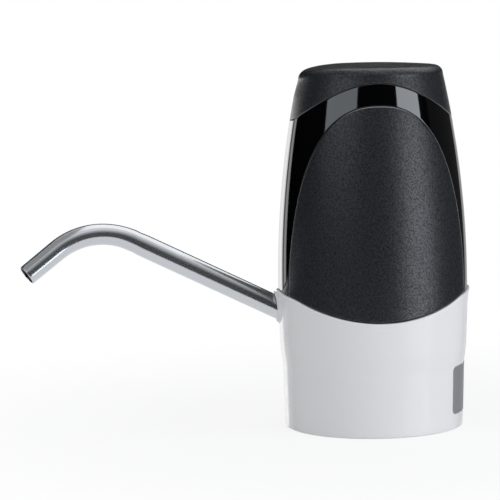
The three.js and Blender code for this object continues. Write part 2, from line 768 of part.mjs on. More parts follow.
// Chassis: a floor plate with a slotted battery cradle and the ring that grips the motor, fused where they
// meet.
function makeChassis() {
  const plateRadius = baseRadius(chassisFoot) - baseWall - 2 * fitGap - lipWall;
  const plate = rod(plateRadius, chassisFoot, chassisHead, bodySegments);
  const cradleHead = chassisFoot + cradleHeight;
  const cradle = tube(cradleBore + cradleWall, cradleBore, chassisFoot, cradleHead, ringSegments)
    .translate(cellX, cellY, 0);
  const ringFoot = (motorFoot + motorHead - motorRingLength) / 2;
  const ring = tube(motorBore + cradleWall, motorBore, ringFoot, ringFoot + motorRingLength, ringSegments)
    .translate(pumpX, rotorY, 0);
  const wedge = new THREE.Shape();
  const reach = 2 * cradleBore;
  wedge.moveTo(0, 0);
  wedge.lineTo(...around(reach, slotDirection - slotSpread));
  wedge.lineTo(...around(reach, slotDirection + slotSpread));
  wedge.closePath();
  const slot = prism(wedge, chassisHead, cradleHead + overrun).translate(cellX, cellY, 0);
  const opening = prism(pumpOutline(fitGap), flangeFoot, chassisHead + overrun);
  const pad = rod(nippleRadius + pumpWall / 2 + fitGap, flangeFoot, chassisHead + overrun)
    .translate(nippleX, 0, 0);
  const spoutNotch = box(-cutWidth, pumpX, -sleeveRadius - fitGap, sleeveRadius + fitGap, flangeFoot,
    chassisHead + overrun);
  const inside = rod(cradleBore, chassisHead, cradleHead + overrun, ringSegments).translate(cellX, cellY, 0);
  const screwHoles = atBaseScrews(() => rod(baseScrewRadius + fitGap, flangeFoot, columnFoot, screwSegments));
  return cut(join(plate, cradle, ring), slot, inside, opening, pad, spoutNotch, ...screwHoles);
}

function makeCell() {
  const button = cellRadius / 3;
  return revolve([
    [0, cellFoot],
    [cellRadius, cellFoot],
    [cellRadius, cellHead - overrun],
    [cellRadius - overrun / 2, cellHead - overrun / 2],
    [button, cellHead - overrun / 2],
    [button, cellHead],
    [0, cellHead],
  ], ringSegments).translate(cellX, cellY, 0);
}

// The lower tab runs from the middle of the cell out through the cradle's slot.
function makeLowerTab() {
  return box(-tabWidth / 2, cellRadius + tabWidth / 2, -tabWidth / 2, tabWidth / 2, chassisHead + restGap,
    chassisHead + restGap + tabThickness).rotateZ(slotDirection).translate(cellX, cellY, 0);
}

function makeUpperTab() {
  return box(-tabWidth / 2, cellRadius / 2, -tabWidth / 2, tabWidth / 2, cellHead + restGap,
    cellHead + restGap + tabThickness).rotateZ(slotDirection).translate(cellX, cellY, 0);
}

function makeBoard() {
  const holes = atBoardScrews(() => rod(boardScrewRadius + fitGap, boardFoot - overrun, boardHead + overrun,
    screwSegments));
  return cut(rod(boardRadius, boardFoot, boardHead, bodySegments), ...holes);
}

function makeBoardScrew() {
  const head = boardFoot - restGap;
  return revolve([
    [0, head - boardScrewHeadHeight],
    [boardScrewHeadRadius, head - boardScrewHeadHeight],
    [boardScrewHeadRadius, head],
    [boardScrewRadius, head],
    [boardScrewRadius, head + boardScrewLength],
    [0, head + boardScrewLength + boardScrewRadius],
  ], screwSegments);
}

// The charging socket hangs under the board's rear edge and looks out through the slot in the housing.
function makeChargingSocket() {
  const half = socketWidth / 2;
  const tongueHalf = half - 3 * socketWall;
  const shell = box(socketFront - socketDepth, socketFront, -half, half, underBoard - socketHeight, underBoard);
  const mouth = box(socketFront - socketDepth + 2 * socketWall, socketFront + overrun, -half + socketWall,
    half - socketWall, underBoard - socketHeight + socketWall, underBoard - socketWall);
  const tongue = box(socketFront - socketDepth + socketWall, socketFront - 2 * socketWall, -tongueHalf,
    tongueHalf, socketMiddle - socketWall, socketMiddle + socketWall);
  return join(cut(shell, mouth), tongue);
}

function makeSwitch() {
  const half = switchWidth / 2;
  const body = box(-half, half, -half, half, boardHead + restGap, switchHead);
  const well = rod(plungerRadius + fitGap, switchHead - buttonTravel - plungerRise, switchHead + overrun);
  return cut(body, well);
}

function makePlunger() {
  return rod(plungerRadius, switchHead - plungerRise + fitGap, plungerHead);
}

function makeLed() {
  return revolve([
    [0, boardHead + restGap],
    [ledRadius, boardHead + restGap],
    [ledRadius, boardHead + ledHeight - ledRadius / 2],
    [ledRadius / 2, boardHead + ledHeight],
    [0, boardHead + ledHeight],
  ], screwSegments).translate(lensX, 0, 0);
}

// Housing: a tapered shell with a recess for each side panel, a tongue for the cap and a lip for the base.
function makeUpperHousing() {
  const lipOuter = (height) => [baseRadius(height) - baseWall - fitGap, height];
  const lipInner = (height) => [baseRadius(height) - baseWall - fitGap - lipWall, height];
  const lipHead = edgeHeight(baseTopRadius) + lipRise;
  const lipHeights = [chassisFoot, lipHead];
  const lip = revolve([...lipHeights.map(lipOuter), ...lipHeights.reverse().map(lipInner)]);
  const main = cut(
    common(bodyShell(0, -housingWall, edgeLow - overrun, brimHeight), aboveEdge(seamGap)),
    aboveSeam(0),
  );
  const tongueOuter = -capWall - fitGap;
  const tongueFoot = seamPeak - seamFall;
  const tongueHead = roofFoot - noseDrop / 2;
  const tongue = cut(
    bodyShell(tongueOuter, tongueOuter - tongueWall, tongueFoot, tongueHead, innerSteps),
    aboveSeam(tongueRise),
  );
  const columns = baseScrewAngles.flatMap((angle) => {
    const column = rod(columnRadius, columnFoot, columnFoot + columnHeight, screwSegments)
      .translate(baseScrewRing, 0, 0);
    const gusset = box(baseScrewRing, lipOuter(columnFoot)[0] - lipWall / 2, -columnRadius / 2,
      columnRadius / 2, columnFoot, columnFoot + columnHeight);
    return [column, gusset].map((piece) => piece.rotateZ(angle));
  });
  const recesses = [[-cutWidth, 0], [0, cutWidth]].map(([from, to]) => common(
    bodyShell(overrun, -panelThickness - panelBackGap, edgeLow - overrun, brimHeight),
    archPrism(seamGap, from, to),
    aboveEdge(0),
  ));
  const pilots = atBaseScrews(() => rod(baseScrewRadius + fitGap, flangeHead,
    columnFoot + columnHeight - overrun, screwSegments));
  const tunnelRadius = sleeveRadius + 2 * fitGap;
  const tunnel = inSpoutFrame(rod(tunnelRadius, -2 * spoutRadius, pumpBossStart));
  const tunnelMouth = box(-cutWidth, -lipInner(chassisFoot)[0] / 2, -tunnelRadius, tunnelRadius, flangeHead,
    spoutHeight - 2 * fitGap);
  const slotHalf = socketWidth / 2 + fitGap;
  const portSlot = box(boardRadius, cutWidth, -slotHalf, slotHalf, socketMiddle - socketHeight / 2 - fitGap,
    socketMiddle + socketHeight / 2 + fitGap);
  const recessHalf = plugRecessHeight / 2;
  const plugRecess = prism(roundedRectangle(-recessHalf, recessHalf, -plugRecessWidth / 2, plugRecessWidth / 2,
    recessHalf / 2), bodyRadius(socketMiddle) - plugRecessDepth, cutWidth)
    .rotateY(Math.PI / 2).translate(0, 0, socketMiddle);
  return cut(join(main, lip, tongue, ...columns), ...recesses, ...pilots, tunnel, tunnelMouth, portSlot,
    plugRecess);
}

function makeSidePanel(side) {
  const [from, to] = side < 0 ? [-cutWidth, 0] : [0, cutWidth];
  return common(
    bodyShell(0, -panelThickness, edgeLow - overrun, brimHeight),
    archPrism(0, from, to),
    aboveEdge(2 * seamGap),
  );
}

function crownHeight(radius) {
  return bodyHeight - crownRise * (radius / crownRadius) ** 2;
}

// The cap's front is drawn down a little: points ahead of the button sink with the square of their distance.
function dropNose(geometry) {
  const places = geometry.attributes.position;
  for (let i = 0; i < places.count; i += 1) {
    const share = Math.max(0, -places.getX(i) - noseStart) / (brimRadius - noseStart);
    const weight = THREE.MathUtils.smoothstep(places.getZ(i), brimHeight - noseFade, brimHeight);
    places.setZ(i, places.getZ(i) - noseDrop * share ** 2 * weight);
  }
  return geometry;
}

function makeTopCap() {
  const foot = seamPeak - seamFall;
  const sides = levels(foot, brimHeight, 2);
  const rounding = levels(0, Math.PI / 2, 3).slice(1).map((turn) => [
    crownRadius + (brimRadius - crownRadius) * Math.cos(turn),
    brimHeight + (crownHeight(crownRadius) - brimHeight) * Math.sin(turn),
  ]);
  const crown = levels(crownRadius, 0, 3).slice(1).map((radius) => [radius, crownHeight(radius)]);
  const inner = levels(roofFoot, foot, innerSteps).map((height) => [bodyRadius(height) - capWall, height]);
  const outer = [...sides.map((height) => [bodyRadius(height), height]), ...rounding, ...crown];
  const shell = revolve([...outer, [0, roofFoot], ...inner]);
  const buttonHole = buttonRadius + fitGap;
  const guideFoot = roofFoot - overrun * 2;
  const guide = tube(buttonHole + guideWall, buttonHole, guideFoot, roofFoot + overrun, ringSegments);
  const posts = atBoardScrews(() => rod(postRadius, boardHead + restGap, roofFoot + overrun));
  const pilots = atBoardScrews(() => rod(boardScrewRadius + fitGap, boardFoot,
    boardFoot + boardScrewLength + 2 * overrun, screwSegments));
  const opening = rod(buttonHole, guideFoot - overrun, bodyHeight + overrun, ringSegments);
  const lensHole = rod(lensRadius + fitGap, guideFoot, bodyHeight + overrun, screwSegments)
    .translate(lensX, 0, 0);
  const lid = common(shell, aboveSeam(seamGap));
  return dropNose(toGeometry(cut(join(lid, guide, ...posts), opening, lensHole, ...pilots)));
}

// Push button: a dished plate with a skirt, a retaining flange under the guide and a stem down to the switch.
function makePushButton() {
  const top = bodyHeight;
  const guideFoot = roofFoot - overrun * 2;
  const flangeTop = guideFoot - fitGap;
  const flangeFoot = flangeTop - buttonFlangeHeight;
  return revolve([
    [0, plungerHead + restGap],
    [stemRadius, plungerHead + restGap],
    [stemRadius, top - buttonPlate - buttonDish],
    [buttonRadius - guideWall, top - buttonPlate - buttonDish],
    [buttonRadius - guideWall, flangeFoot],
    [buttonRadius + buttonFlangeRise, flangeFoot],
    [buttonRadius + buttonFlangeRise, flangeTop],
    [buttonRadius, flangeTop],
    [buttonRadius, top - buttonDish],
    [buttonRadius - buttonDish, top - buttonDish / 4],
    [buttonRadius / 2, top - dishShare * buttonDish],
    [0, top - buttonDish],
  ], ringSegments);
}

function makeLens() {
  const head = crownHeight(lensX);
  return revolve([
    [0, roofFoot - overrun - restGap],
    [lensRadius + lensFlangeRise, roofFoot - overrun - restGap],
    [lensRadius + lensFlangeRise, roofFoot - restGap],
    [lensRadius, roofFoot - restGap],
    [lensRadius, head - restGap],
    [0, head],
  ], screwSegments).translate(lensX, 0, 0);
}

// Sleeve that holds the spout: a bore with a seal groove, a front face trimmed to the base wall and a hose
// nipple at its inner end.
function makeSpoutSocket() {
  const floor = sleeveStart + sleeveLength;
  const half = ringMinorRadius + restGap;
  const sleeve = inSpoutFrame(revolve([
    [sleeveBore, 0],
    [sleeveRadius, 0],
    [sleeveRadius, floor],
    [hoseNippleRadius, floor],
    [hoseNippleRadius, floor + hoseNippleLength],
    [portRadius, floor + hoseNippleLength],
    [portRadius, floor - overrun],
    [sleeveBore, floor - overrun],
    [sleeveBore, ringPlace + half],
    [grooveRadius, ringPlace + half],
    [grooveRadius, ringPlace - half],
    [sleeveBore, ringPlace - half],
  ], socketSegments));
  const heights = [chassisFoot, spoutHeight + 2 * sleeveRadius];
  const inside = heights.map((height) => [baseRadius(height) - baseWall - fitGap, height]);
  return common(sleeve, revolve([[0, heights[0]], ...inside, [0, heights[1]]]));
}

function makeSpoutRing() {
  const torus = new THREE.TorusGeometry(ringBore + ringMinorRadius, ringMinorRadius, cordSegments,
    socketSegments);
  return alongSpout(torus.translate(0, 0, ringPlace));
}

function makeOutletHose() {
  const foot = sleeveStart + sleeveLength + fitGap;
  return alongSpout(tube(hoseBore + hoseWall, hoseBore, foot, pumpBossStart - fitGap));
}

// The spout's path: a straight run, one bend downwards and the end. Its stations are the ends of the straight
// runs and even steps through the bend, so the section is repeated only where the path turns.
class SpoutPath extends THREE.Curve {
  constructor(extra) {
    super();
    const arc = spoutBendRadius * spoutBend;
    const bend = levels(spoutStraight, spoutStraight + arc, bendSteps);
    this.stations = [-spoutInsertion - extra, ...bend, spoutStraight + arc + spoutEnd + extra];
  }

  distanceAt(t) {
    const place = t * (this.stations.length - 1);
    const before = Math.min(Math.floor(place), this.stations.length - 2);
    return THREE.MathUtils.lerp(this.stations[before], this.stations[before + 1], place - before);
  }

  turnAt(t) {
    return THREE.MathUtils.clamp((this.distanceAt(t) - spoutStraight) / spoutBendRadius, 0, spoutBend);
  }

  getUtoTmapping(u) {
    return u;
  }

  getPoint(t, target = new THREE.Vector3()) {
    const turn = this.turnAt(t);
    const rest = this.distanceAt(t) - spoutBendRadius * turn;
    const end = Math.max(rest - spoutStraight, 0);
    return target.set(
      Math.min(rest, spoutStraight) + spoutBendRadius * Math.sin(turn) + end * Math.cos(turn),
      0,
      -spoutBendRadius * (1 - Math.cos(turn)) - end * Math.sin(turn),
    );
  }

  getTangent(t, target = new THREE.Vector3()) {
    const turn = this.turnAt(t);
    return target.set(Math.cos(turn), 0, -Math.sin(turn));
  }
}

function spoutBar(radius, segments, extra) {
  const section = new THREE.Shape();
  section.absarc(0, 0, radius, 0, 2 * Math.PI);
  const extrudePath = new SpoutPath(extra);
  const steps = extrudePath.stations.length - 1;
  const options = { steps, bevelEnabled: false, curveSegments: segments / 2, extrudePath };
  return new THREE.ExtrudeGeometry(section, options);
}

function makeSpoutTube() {
  return cut(spoutBar(spoutRadius, spoutSegments, 0), spoutBar(spoutRadius - spoutWall, spoutSegments, overrun));
}

// A lead through points, bent to one side between two heights.
function makeLead(points) {
  const section = new THREE.Shape();
  section.absarc(0, 0, leadRadius, 0, 2 * Math.PI);
  const extrudePath = new THREE.CatmullRomCurve3(points.map((point) => new THREE.Vector3(...point)));
  const options = { steps: leadSteps, bevelEnabled: false, curveSegments: leadSegments / 2, extrudePath };
  return new THREE.ExtrudeGeometry(section, options);
}

function motorLead(side) {
  const x = pumpX + side * commutatorRadius * 2;
  return makeLead([
    [x, rotorY, terminalTop],
    [x, rotorY, terminalTop + leadRise * leadEndShare],
    [x + side * leadBow, rotorY - leadBow, terminalTop + leadRise / 2],
    [x, rotorY - 2 * leadBow, underBoard - leadRise * leadEndShare],
    [x, rotorY - 2 * leadBow, underBoard],
  ]);
}

function upperBatteryLead() {
  const foot = cellHead + 2 * restGap + tabThickness;
  const rise = underBoard - foot;
  return makeLead([
    [cellX, cellY, foot],
    [cellX, cellY, foot + rise * leadEndShare],
    [cellX - leadBow, cellY, foot + rise / 2],
    [cellX - 2 * leadBow, cellY, underBoard - rise * leadEndShare],
    [cellX - 2 * leadBow, cellY, underBoard],
  ]);
}

function lowerBatteryLead() {
  const [dx, dy] = around(cellRadius + fitGap + leadRadius * 2, slotDirection);
  const foot = chassisHead + 2 * restGap + tabThickness;
  return makeLead([[cellX + dx, cellY + dy, foot], [cellX + dx, cellY + dy, underBoard]]);
}

function finish(color, roughness, metalness = 0) {
  return new THREE.MeshStandardMaterial({ color, roughness, metalness });
}

const whiteGloss = finish(0xe4e7ea, 0.25);
const blackGloss = finish(0x060708, 0.08);
const charcoal = finish(0x26282b, 0.6);
const silicone = finish(0xd8dcdc, 0.6);
const rubber = finish(0x1c1c1c, 0.8);
const steel = finish(0xc4c7ca, 0.22, 1);
const zinc = finish(0xa9adb0, 0.35, 1);
const acetal = finish(0xe8e6dc, 0.45);
const greyPlastic = finish(0x5a5d60, 0.5);
const cellWrap = finish(0x3f6fb5, 0.4);
const boardGreen = finish(0x1f5a36, 0.5);
const copper = finish(0xa8602f, 0.4, 1);
const ferrite = finish(0x35373a, 0.7);
const lensClear = finish(0xcfe3ff, 0.2);
const redWire = finish(0xb3261e, 0.5);
const blackWire = finish(0x161616, 0.5);

const pump = new THREE.Group();

function add(parent, name, shape, material, x = 0, y = 0) {
  const mesh = new THREE.Mesh(toGeometry(toSolid(shape)), material);
  mesh.name = name;
  mesh.position.set(x, y, 0);
  parent.add(mesh);
}

add(pump, 'base_shell', makeBaseShell(), whiteGloss);
add(pump, 'bottle_cup', makeBottleCup(), whiteGloss);
add(pump, 'mouth_gasket', makeGasket(), silicone);
add(pump, 'inlet_seal', makeInletSeal(), rubber);
baseScrewAngles.forEach((angle, i) => {
  add(pump, `base_screw_${i + 1}`, makeBaseScrew(), zinc, ...around(baseScrewRing, angle));
});

add(pump, 'pump_cover', makePumpCover(), greyPlastic);
add(pump, 'pump_housing', makePumpHousing(), greyPlastic);
const toothUp = Math.PI / 2;
const gapDown = toothUp + Math.PI / gearTeeth;
add(pump, 'drive_gear', makeGear(shaftRadius + runningGap, toothUp), acetal, pumpX, rotorY);
add(pump, 'idler_gear', makeGear(pinRadius + runningGap, gapDown), acetal, pumpX, idlerY);
add(pump, 'idler_pin', makeIdlerPin(), steel, pumpX, idlerY);
add(pump, 'shaft_seal', makeShaftSeal(), rubber, pumpX, rotorY);
[-1, 1].forEach((side, i) => {
  add(pump, `pump_screw_${i + 1}`, makePumpScrew(), zinc, pumpX + side * motorScrewSpread, rotorY);
});

add(pump, 'motor_can', makeMotorCan(), zinc, pumpX, rotorY);
add(pump, 'motor_magnet_front', makeMagnet(Math.PI), ferrite, pumpX, rotorY);
add(pump, 'motor_magnet_rear', makeMagnet(0), ferrite, pumpX, rotorY);
add(pump, 'motor_armature', makeArmature(), copper, pumpX, rotorY);
add(pump, 'motor_shaft', makeShaft(), steel, pumpX, rotorY);
add(pump, 'motor_end_cap', makeMotorCap(), blackWire, pumpX, rotorY);

add(pump, 'chassis', makeChassis(), greyPlastic);
add(pump, 'battery_cell', makeCell(), cellWrap);
add(pump, 'battery_tab_lower', makeLowerTab(), zinc);
add(pump, 'battery_tab_upper', makeUpperTab(), zinc);

add(pump, 'circuit_board', makeBoard(), boardGreen);
[-1, 1].forEach((side, i) => {
  add(pump, `board_screw_${i + 1}`, makeBoardScrew(), zinc, 0, side * boardScrewY);
});
add(pump, 'charging_socket', makeChargingSocket(), zinc);
add(pump, 'tact_switch', makeSwitch(), greyPlastic);
add(pump, 'switch_plunger', makePlunger(), blackWire);
add(pump, 'charge_led', makeLed(), lensClear);
add(pump, 'motor_lead_black', motorLead(-1), blackWire);
add(pump, 'motor_lead_red', motorLead(1), redWire);
add(pump, 'battery_lead_red', upperBatteryLead(), redWire);
add(pump, 'battery_lead_black', lowerBatteryLead(), blackWire);

add(pump, 'upper_housing', makeUpperHousing(), blackGloss);
add(pump, 'side_panel_left', makeSidePanel(-1), charcoal);
add(pump, 'side_panel_right', makeSidePanel(1), charcoal);
add(pump, 'top_cap', makeTopCap(), charcoal);
add(pump, 'push_button', makePushButton(), charcoal);
add(pump, 'indicator_lens', makeLens(), lensClear);

add(pump, 'spout_socket', makeSpoutSocket(), silicone);
const spout = new THREE.Group();
spout.applyMatrix4(spoutFrame);
add(spout, 'spout_ring', makeSpoutRing(), rubber);
add(spout, 'outlet_hose', makeOutletHose(), silicone);
const swivel = new THREE.Group();
swivel.rotation.x = spoutSwivel;
add(swivel, 'spout_tube', makeSpoutTube(), steel);
spout.add(swivel);
pump.add(spout);
pump.position.z = -seatHeight;

export default pump;
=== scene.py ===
# Bottled water pump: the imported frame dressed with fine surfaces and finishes.
# Metres throughout, in the frame's own axes. Heights in the dictionaries count from the base rim.
import json
import math

import bmesh
import bpy
import numpy as np
from mathutils import Matrix, Vector


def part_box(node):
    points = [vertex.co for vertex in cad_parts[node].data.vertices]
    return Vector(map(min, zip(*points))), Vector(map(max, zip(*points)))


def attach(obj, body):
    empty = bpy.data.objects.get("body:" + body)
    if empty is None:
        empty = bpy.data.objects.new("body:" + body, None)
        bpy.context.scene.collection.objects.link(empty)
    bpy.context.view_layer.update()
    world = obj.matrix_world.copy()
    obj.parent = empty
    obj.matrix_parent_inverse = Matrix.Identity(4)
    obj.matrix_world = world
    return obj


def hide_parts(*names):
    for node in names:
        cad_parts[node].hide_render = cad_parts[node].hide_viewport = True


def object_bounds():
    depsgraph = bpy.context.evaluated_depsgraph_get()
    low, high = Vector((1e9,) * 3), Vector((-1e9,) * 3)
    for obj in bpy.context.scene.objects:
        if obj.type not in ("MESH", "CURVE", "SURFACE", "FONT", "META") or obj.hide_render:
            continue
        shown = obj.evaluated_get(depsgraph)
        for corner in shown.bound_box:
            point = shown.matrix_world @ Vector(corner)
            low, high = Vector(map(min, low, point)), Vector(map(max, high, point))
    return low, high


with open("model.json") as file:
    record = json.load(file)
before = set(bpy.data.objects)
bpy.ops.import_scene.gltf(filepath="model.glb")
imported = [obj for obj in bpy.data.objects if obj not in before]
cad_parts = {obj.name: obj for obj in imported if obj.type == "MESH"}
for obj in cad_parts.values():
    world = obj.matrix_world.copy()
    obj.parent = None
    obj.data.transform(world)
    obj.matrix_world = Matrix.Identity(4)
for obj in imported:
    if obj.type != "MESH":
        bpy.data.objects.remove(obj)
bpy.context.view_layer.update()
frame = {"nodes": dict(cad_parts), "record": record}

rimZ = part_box("base_shell")[0][2]
halfPi = math.pi / 2

# Camera, at the photograph's angle: side, yaw, pitch and roll in degrees, lens in millimetres
camera = {"distance": 0.960, "side": 6.0, "height": 0.17092, "yaw": -2.615, "pitch": -6.381, "roll": -0.916,
          "lens": 193.81, "nearest": 0.05, "furthest": 20}


def addObject(name, data):
    thing = bpy.data.objects.new(name, data)
    bpy.context.scene.collection.objects.link(thing)
    return thing


def addCamera():
    # A place and a direction, and the picture's right and up turned by the roll
    side, yaw, pitch, roll = (math.radians(camera[key]) for key in ("side", "yaw", "pitch", "roll"))
    distance = camera["distance"]
    place = Vector((-distance * math.sin(side), -distance * math.cos(side), camera["height"] + rimZ))
    heading = side + yaw
    level = math.cos(pitch)
    forward = Vector((math.sin(heading) * level, math.cos(heading) * level, math.sin(pitch)))
    right = forward.cross(Vector((0, 0, 1))).normalized()
    up = right.cross(forward)
    turnedRight = right * math.cos(roll) + up * math.sin(roll)
    turnedUp = up * math.cos(roll) - right * math.sin(roll)
    data = bpy.data.cameras.new("camera")
    data.lens, data.clip_start, data.clip_end = camera["lens"], camera["nearest"], camera["furthest"]
    holder = addObject("camera", data)
    turn = Matrix((turnedRight, turnedUp, -forward)).transposed().to_4x4()
    holder.matrix_world = Matrix.Translation(place) @ turn
    bpy.context.scene.camera = holder


addCamera()
print("camera done")


# Shader maths: a wire is a socket of one node tree, and an expression on wires adds its Math nodes
class Wire:
    def __init__(self, tree, socket):
        self.tree = tree
        self.socket = socket

    def math(self, operation, other):
        node = self.tree.nodes.new("ShaderNodeMath")
        node.operation = operation
        plug(self.tree, node.inputs[0], self)
        plug(self.tree, node.inputs[1], other)
        return Wire(self.tree, node.outputs[0])

    def __add__(self, other):
        return self.math("ADD", other)

    def __mul__(self, other):
        return self.math("MULTIPLY", other)

    def __pow__(self, other):
        return self.math("POWER", other)

    def above(self, other):
        return self.math("GREATER_THAN", other)

    def most(self, other):
        return self.math("MAXIMUM", other)

    __radd__ = __add__
    __rmul__ = __mul__


def plug(tree, socket, value):
    if isinstance(value, Wire):
        tree.links.new(value.socket, socket)
    else:
        socket.default_value = value


def findSocket(sockets, key):
    # Sockets go by their identifiers without spaces, such as BaseColor
    for socket in sockets:
        if socket.identifier.replace(" ", "") == key:
            return socket
    raise KeyError(f"no socket {key}")


class Finish:
    # Nodes of a material or a world; node() adds any node, settings first and then inputs
    def __init__(self, name, kind="materials"):
        self.owner = getattr(bpy.data, kind).new(name)
        self.owner.use_nodes = True
        self.tree = self.owner.node_tree
        self.tree.nodes.clear()

    def node(self, kind, settings=None, output=None, **inputs):
        node = self.tree.nodes.new("ShaderNode" + kind)
        for key, value in (settings or {}).items():
            if key == "stops":
                setStops(node.color_ramp, value)
            else:
                setattr(node, key, value)
        for key, value in inputs.items():
            plug(self.tree, findSocket(node.inputs, key), value)
        if node.outputs:
            return Wire(self.tree, findSocket(node.outputs, output) if output else node.outputs[0])

    def place(self):
        return self.node("TexCoord", output="Object")

    def noise(self, scale, detail=2.0, rough=0.5, source=None):
        source = source or self.place()
        return self.node("TexNoise", Vector=source, Scale=scale, Detail=detail, Roughness=rough)

    def blend(self, factor, first, second):
        return self.node("Mix", {"data_type": "RGBA"}, "Result_Color", Factor_Float=factor, A_Color=first,
                         B_Color=second)

    def bump(self, height, distance, strength=1.0):
        return self.node("Bump", Height=height, Distance=distance, Strength=strength)

    def close(self, shader, ending="OutputMaterial"):
        self.node(ending, Surface=shader)
        return self.owner

    def shade(self, **inputs):
        return self.close(self.node("BsdfPrincipled", **inputs))


def setStops(ramp, stops):
    while len(ramp.elements) < len(stops):
        ramp.elements.new(0.5)
    for element, (place, color) in zip(ramp.elements, stops):
        element.position = place
        element.color = color


def grey(value):
    return (value, value, value, 1)


# Most finishes share one recipe: two colours mixed by clouds, a roughness with some haze, a bumped grain.
# clouds, haze and grain are noises (scale, detail, roughness), roughness is (least, added by the haze) and
# bump is (depth, strength). All else goes straight to the shader
def makeFinish(name, colors, clouds, roughness, haze, grain=None, bump=(), **more):
    look = Finish(name)
    least, added = roughness
    if grain:
        more["Normal"] = look.bump(look.noise(*grain), *bump)
    return look.shade(BaseColor=look.blend(look.noise(*clouds), *colors),
                      Roughness=look.noise(*haze) * added + least, **more)


def metal(high, low, roughness, scale):
    # Colour on the grain's peaks and in its pits, and the grain's scale
    grain = (scale, 4, 0.6)
    return {"colors": (low, high), "clouds": grain, "roughness": (roughness, 0.2), "haze": (scale / 3, 3),
            "grain": grain, "bump": (0.00002, 0.4), "Metallic": 1.0}


def plastic(low, high, roughness, scale=900, depth=0.00003):
    # Colours of the body and its paler clouds, and the grain's scale and depth
    return {"colors": (low, high), "clouds": (scale / 8, 3), "roughness": (roughness, 0.15),
            "haze": (scale, 3), "grain": (scale, 3), "bump": (depth, 0.5)}


plainFinishes = {
    # Base: moulded gloss, with a faint orange-peel and a little handling haze
    "whiteGloss": {"colors": ((0.771, 0.760, 0.762, 1), (0.761, 0.751, 0.754, 1)), "clouds": (25, 0),
                   "roughness": (0.16, 0.03), "haze": (60, 1), "grain": (180, 0), "bump": (0.000004, 0.2),
                   "SpecularIORLevel": 0.15},
    # Housing: polished, with fine specks and very slight waviness in what it mirrors
    "blackGloss": {"colors": ((0.0008, 0.0009, 0.0011, 1), (0.0018, 0.0019, 0.0022, 1)), "clouds": (70, 3),
                   "roughness": (0.045, 0.03), "haze": (900, 2), "grain": (55, 0), "bump": (0.000006, 0.2),
                   "SpecularIORLevel": 0.88},
    # Label: metallised paper, bare, with a fine satin tooth
    "label": {"colors": ((0.40, 0.41, 0.425, 1), (0.45, 0.46, 0.47, 1)), "clouds": (90, 2),
              "roughness": (0.36, 0.12), "haze": (1500, 3), "grain": (1500, 3), "bump": (0.000015, 0.5),
              "Metallic": 0.55},
    # Indicator's lens: clear acrylic, a little cloudy
    "clearLens": {"colors": ((0.62, 0.72, 0.80, 1), (0.75, 0.83, 0.90, 1)), "clouds": (600, 2),
                  "roughness": (0.08, 0.06), "haze": (900, 2), "TransmissionWeight": 0.5, "IOR": 1.49},
    # Hoses and seals: milky, lit a little way in, with a matt skin
    "silicone": {"colors": ((0.66, 0.69, 0.70, 1), (0.76, 0.78, 0.78, 1)), "clouds": (120, 3),
                 "roughness": (0.42, 0.15), "haze": (500, 3), "grain": (800, 2), "bump": (0.00002, 0.4),
                 "SubsurfaceWeight": 0.25, "SubsurfaceRadius": (0.002, 0.002, 0.002)},
    "nitrile": plastic((0.012, 0.012, 0.012, 1), (0.025, 0.025, 0.025, 1), 0.6),
    "acetal": plastic((0.70, 0.69, 0.62, 1), (0.76, 0.75, 0.69, 1), 0.32),
    "greyNylon": plastic((0.085, 0.09, 0.095, 1), (0.11, 0.115, 0.12, 1), 0.42),
    "blackPlastic": plastic((0.012, 0.012, 0.013, 1), (0.02, 0.02, 0.02, 1), 0.4),
    "redLead": plastic((0.42, 0.02, 0.015, 1), (0.5, 0.035, 0.025, 1), 0.38),
    "blackLead": plastic((0.01, 0.01, 0.01, 1), (0.02, 0.02, 0.02, 1), 0.38),
    "ferrite": plastic((0.03, 0.031, 0.034, 1), (0.05, 0.05, 0.054, 1), 0.55, 1500, 0.00006),
    "cellWrap": plastic((0.03, 0.11, 0.36, 1), (0.04, 0.14, 0.42, 1), 0.25, 300, 0.00005),
    "groundSteel": metal((0.58, 0.585, 0.59, 1), (0.45, 0.455, 0.46, 1), 0.2, 1600),
    "zincPlate": metal((0.52, 0.53, 0.53, 1), (0.36, 0.37, 0.38, 1), 0.28, 900),
}


# Charcoal panels, cap and button: a spark-eroded grain, whose tiny polished spots mirror more than its pits.
# spots are the noise values between which the gloss rises from its first to its second share
# edge is the colour of a painted highlight along rounded edges, standing in for the light they catch
grainLook = {"color": (0.0078, 0.0086, 0.0108, 1), "high": (0.0195, 0.0212, 0.0258, 1),
             "pits": (1750, 2, 0.6), "depth": 0.00012, "roughness": 0.3, "pitRoughness": 0.1,
             "specular": 0.17, "spots": (0.38, 0.59), "gloss": (0.13, 1.0), "glossRoughness": 0.4,
             "edge": (0.75, 0.76, 0.78, 1), "edgeShare": 0.95}


def makeGrain():
    look = Finish("charcoalGrain")
    pits = look.noise(*grainLook["pits"])
    low, high = grainLook["spots"]
    dim, bright = grainLook["gloss"]
    # Painted highlight: a paler line along rounded edges stands in for the light they catch, as strong as
    # the lay attribute gives
    edge = look.node("Attribute", {"attribute_name": "lay"}, "Fac")
    speckled = look.blend(pits, grainLook["color"], grainLook["high"])
    return look.shade(
        BaseColor=look.blend(edge * grainLook["edgeShare"], speckled, grainLook["edge"]),
        Roughness=pits * grainLook["pitRoughness"] + grainLook["roughness"],
        Normal=look.bump(pits, grainLook["depth"]),
        CoatWeight=look.node("MapRange", Value=pits, FromMin=low, FromMax=high, ToMin=dim, ToMax=bright),
        CoatRoughness=grainLook["glossRoughness"],
        SpecularIORLevel=grainLook["specular"],
    )
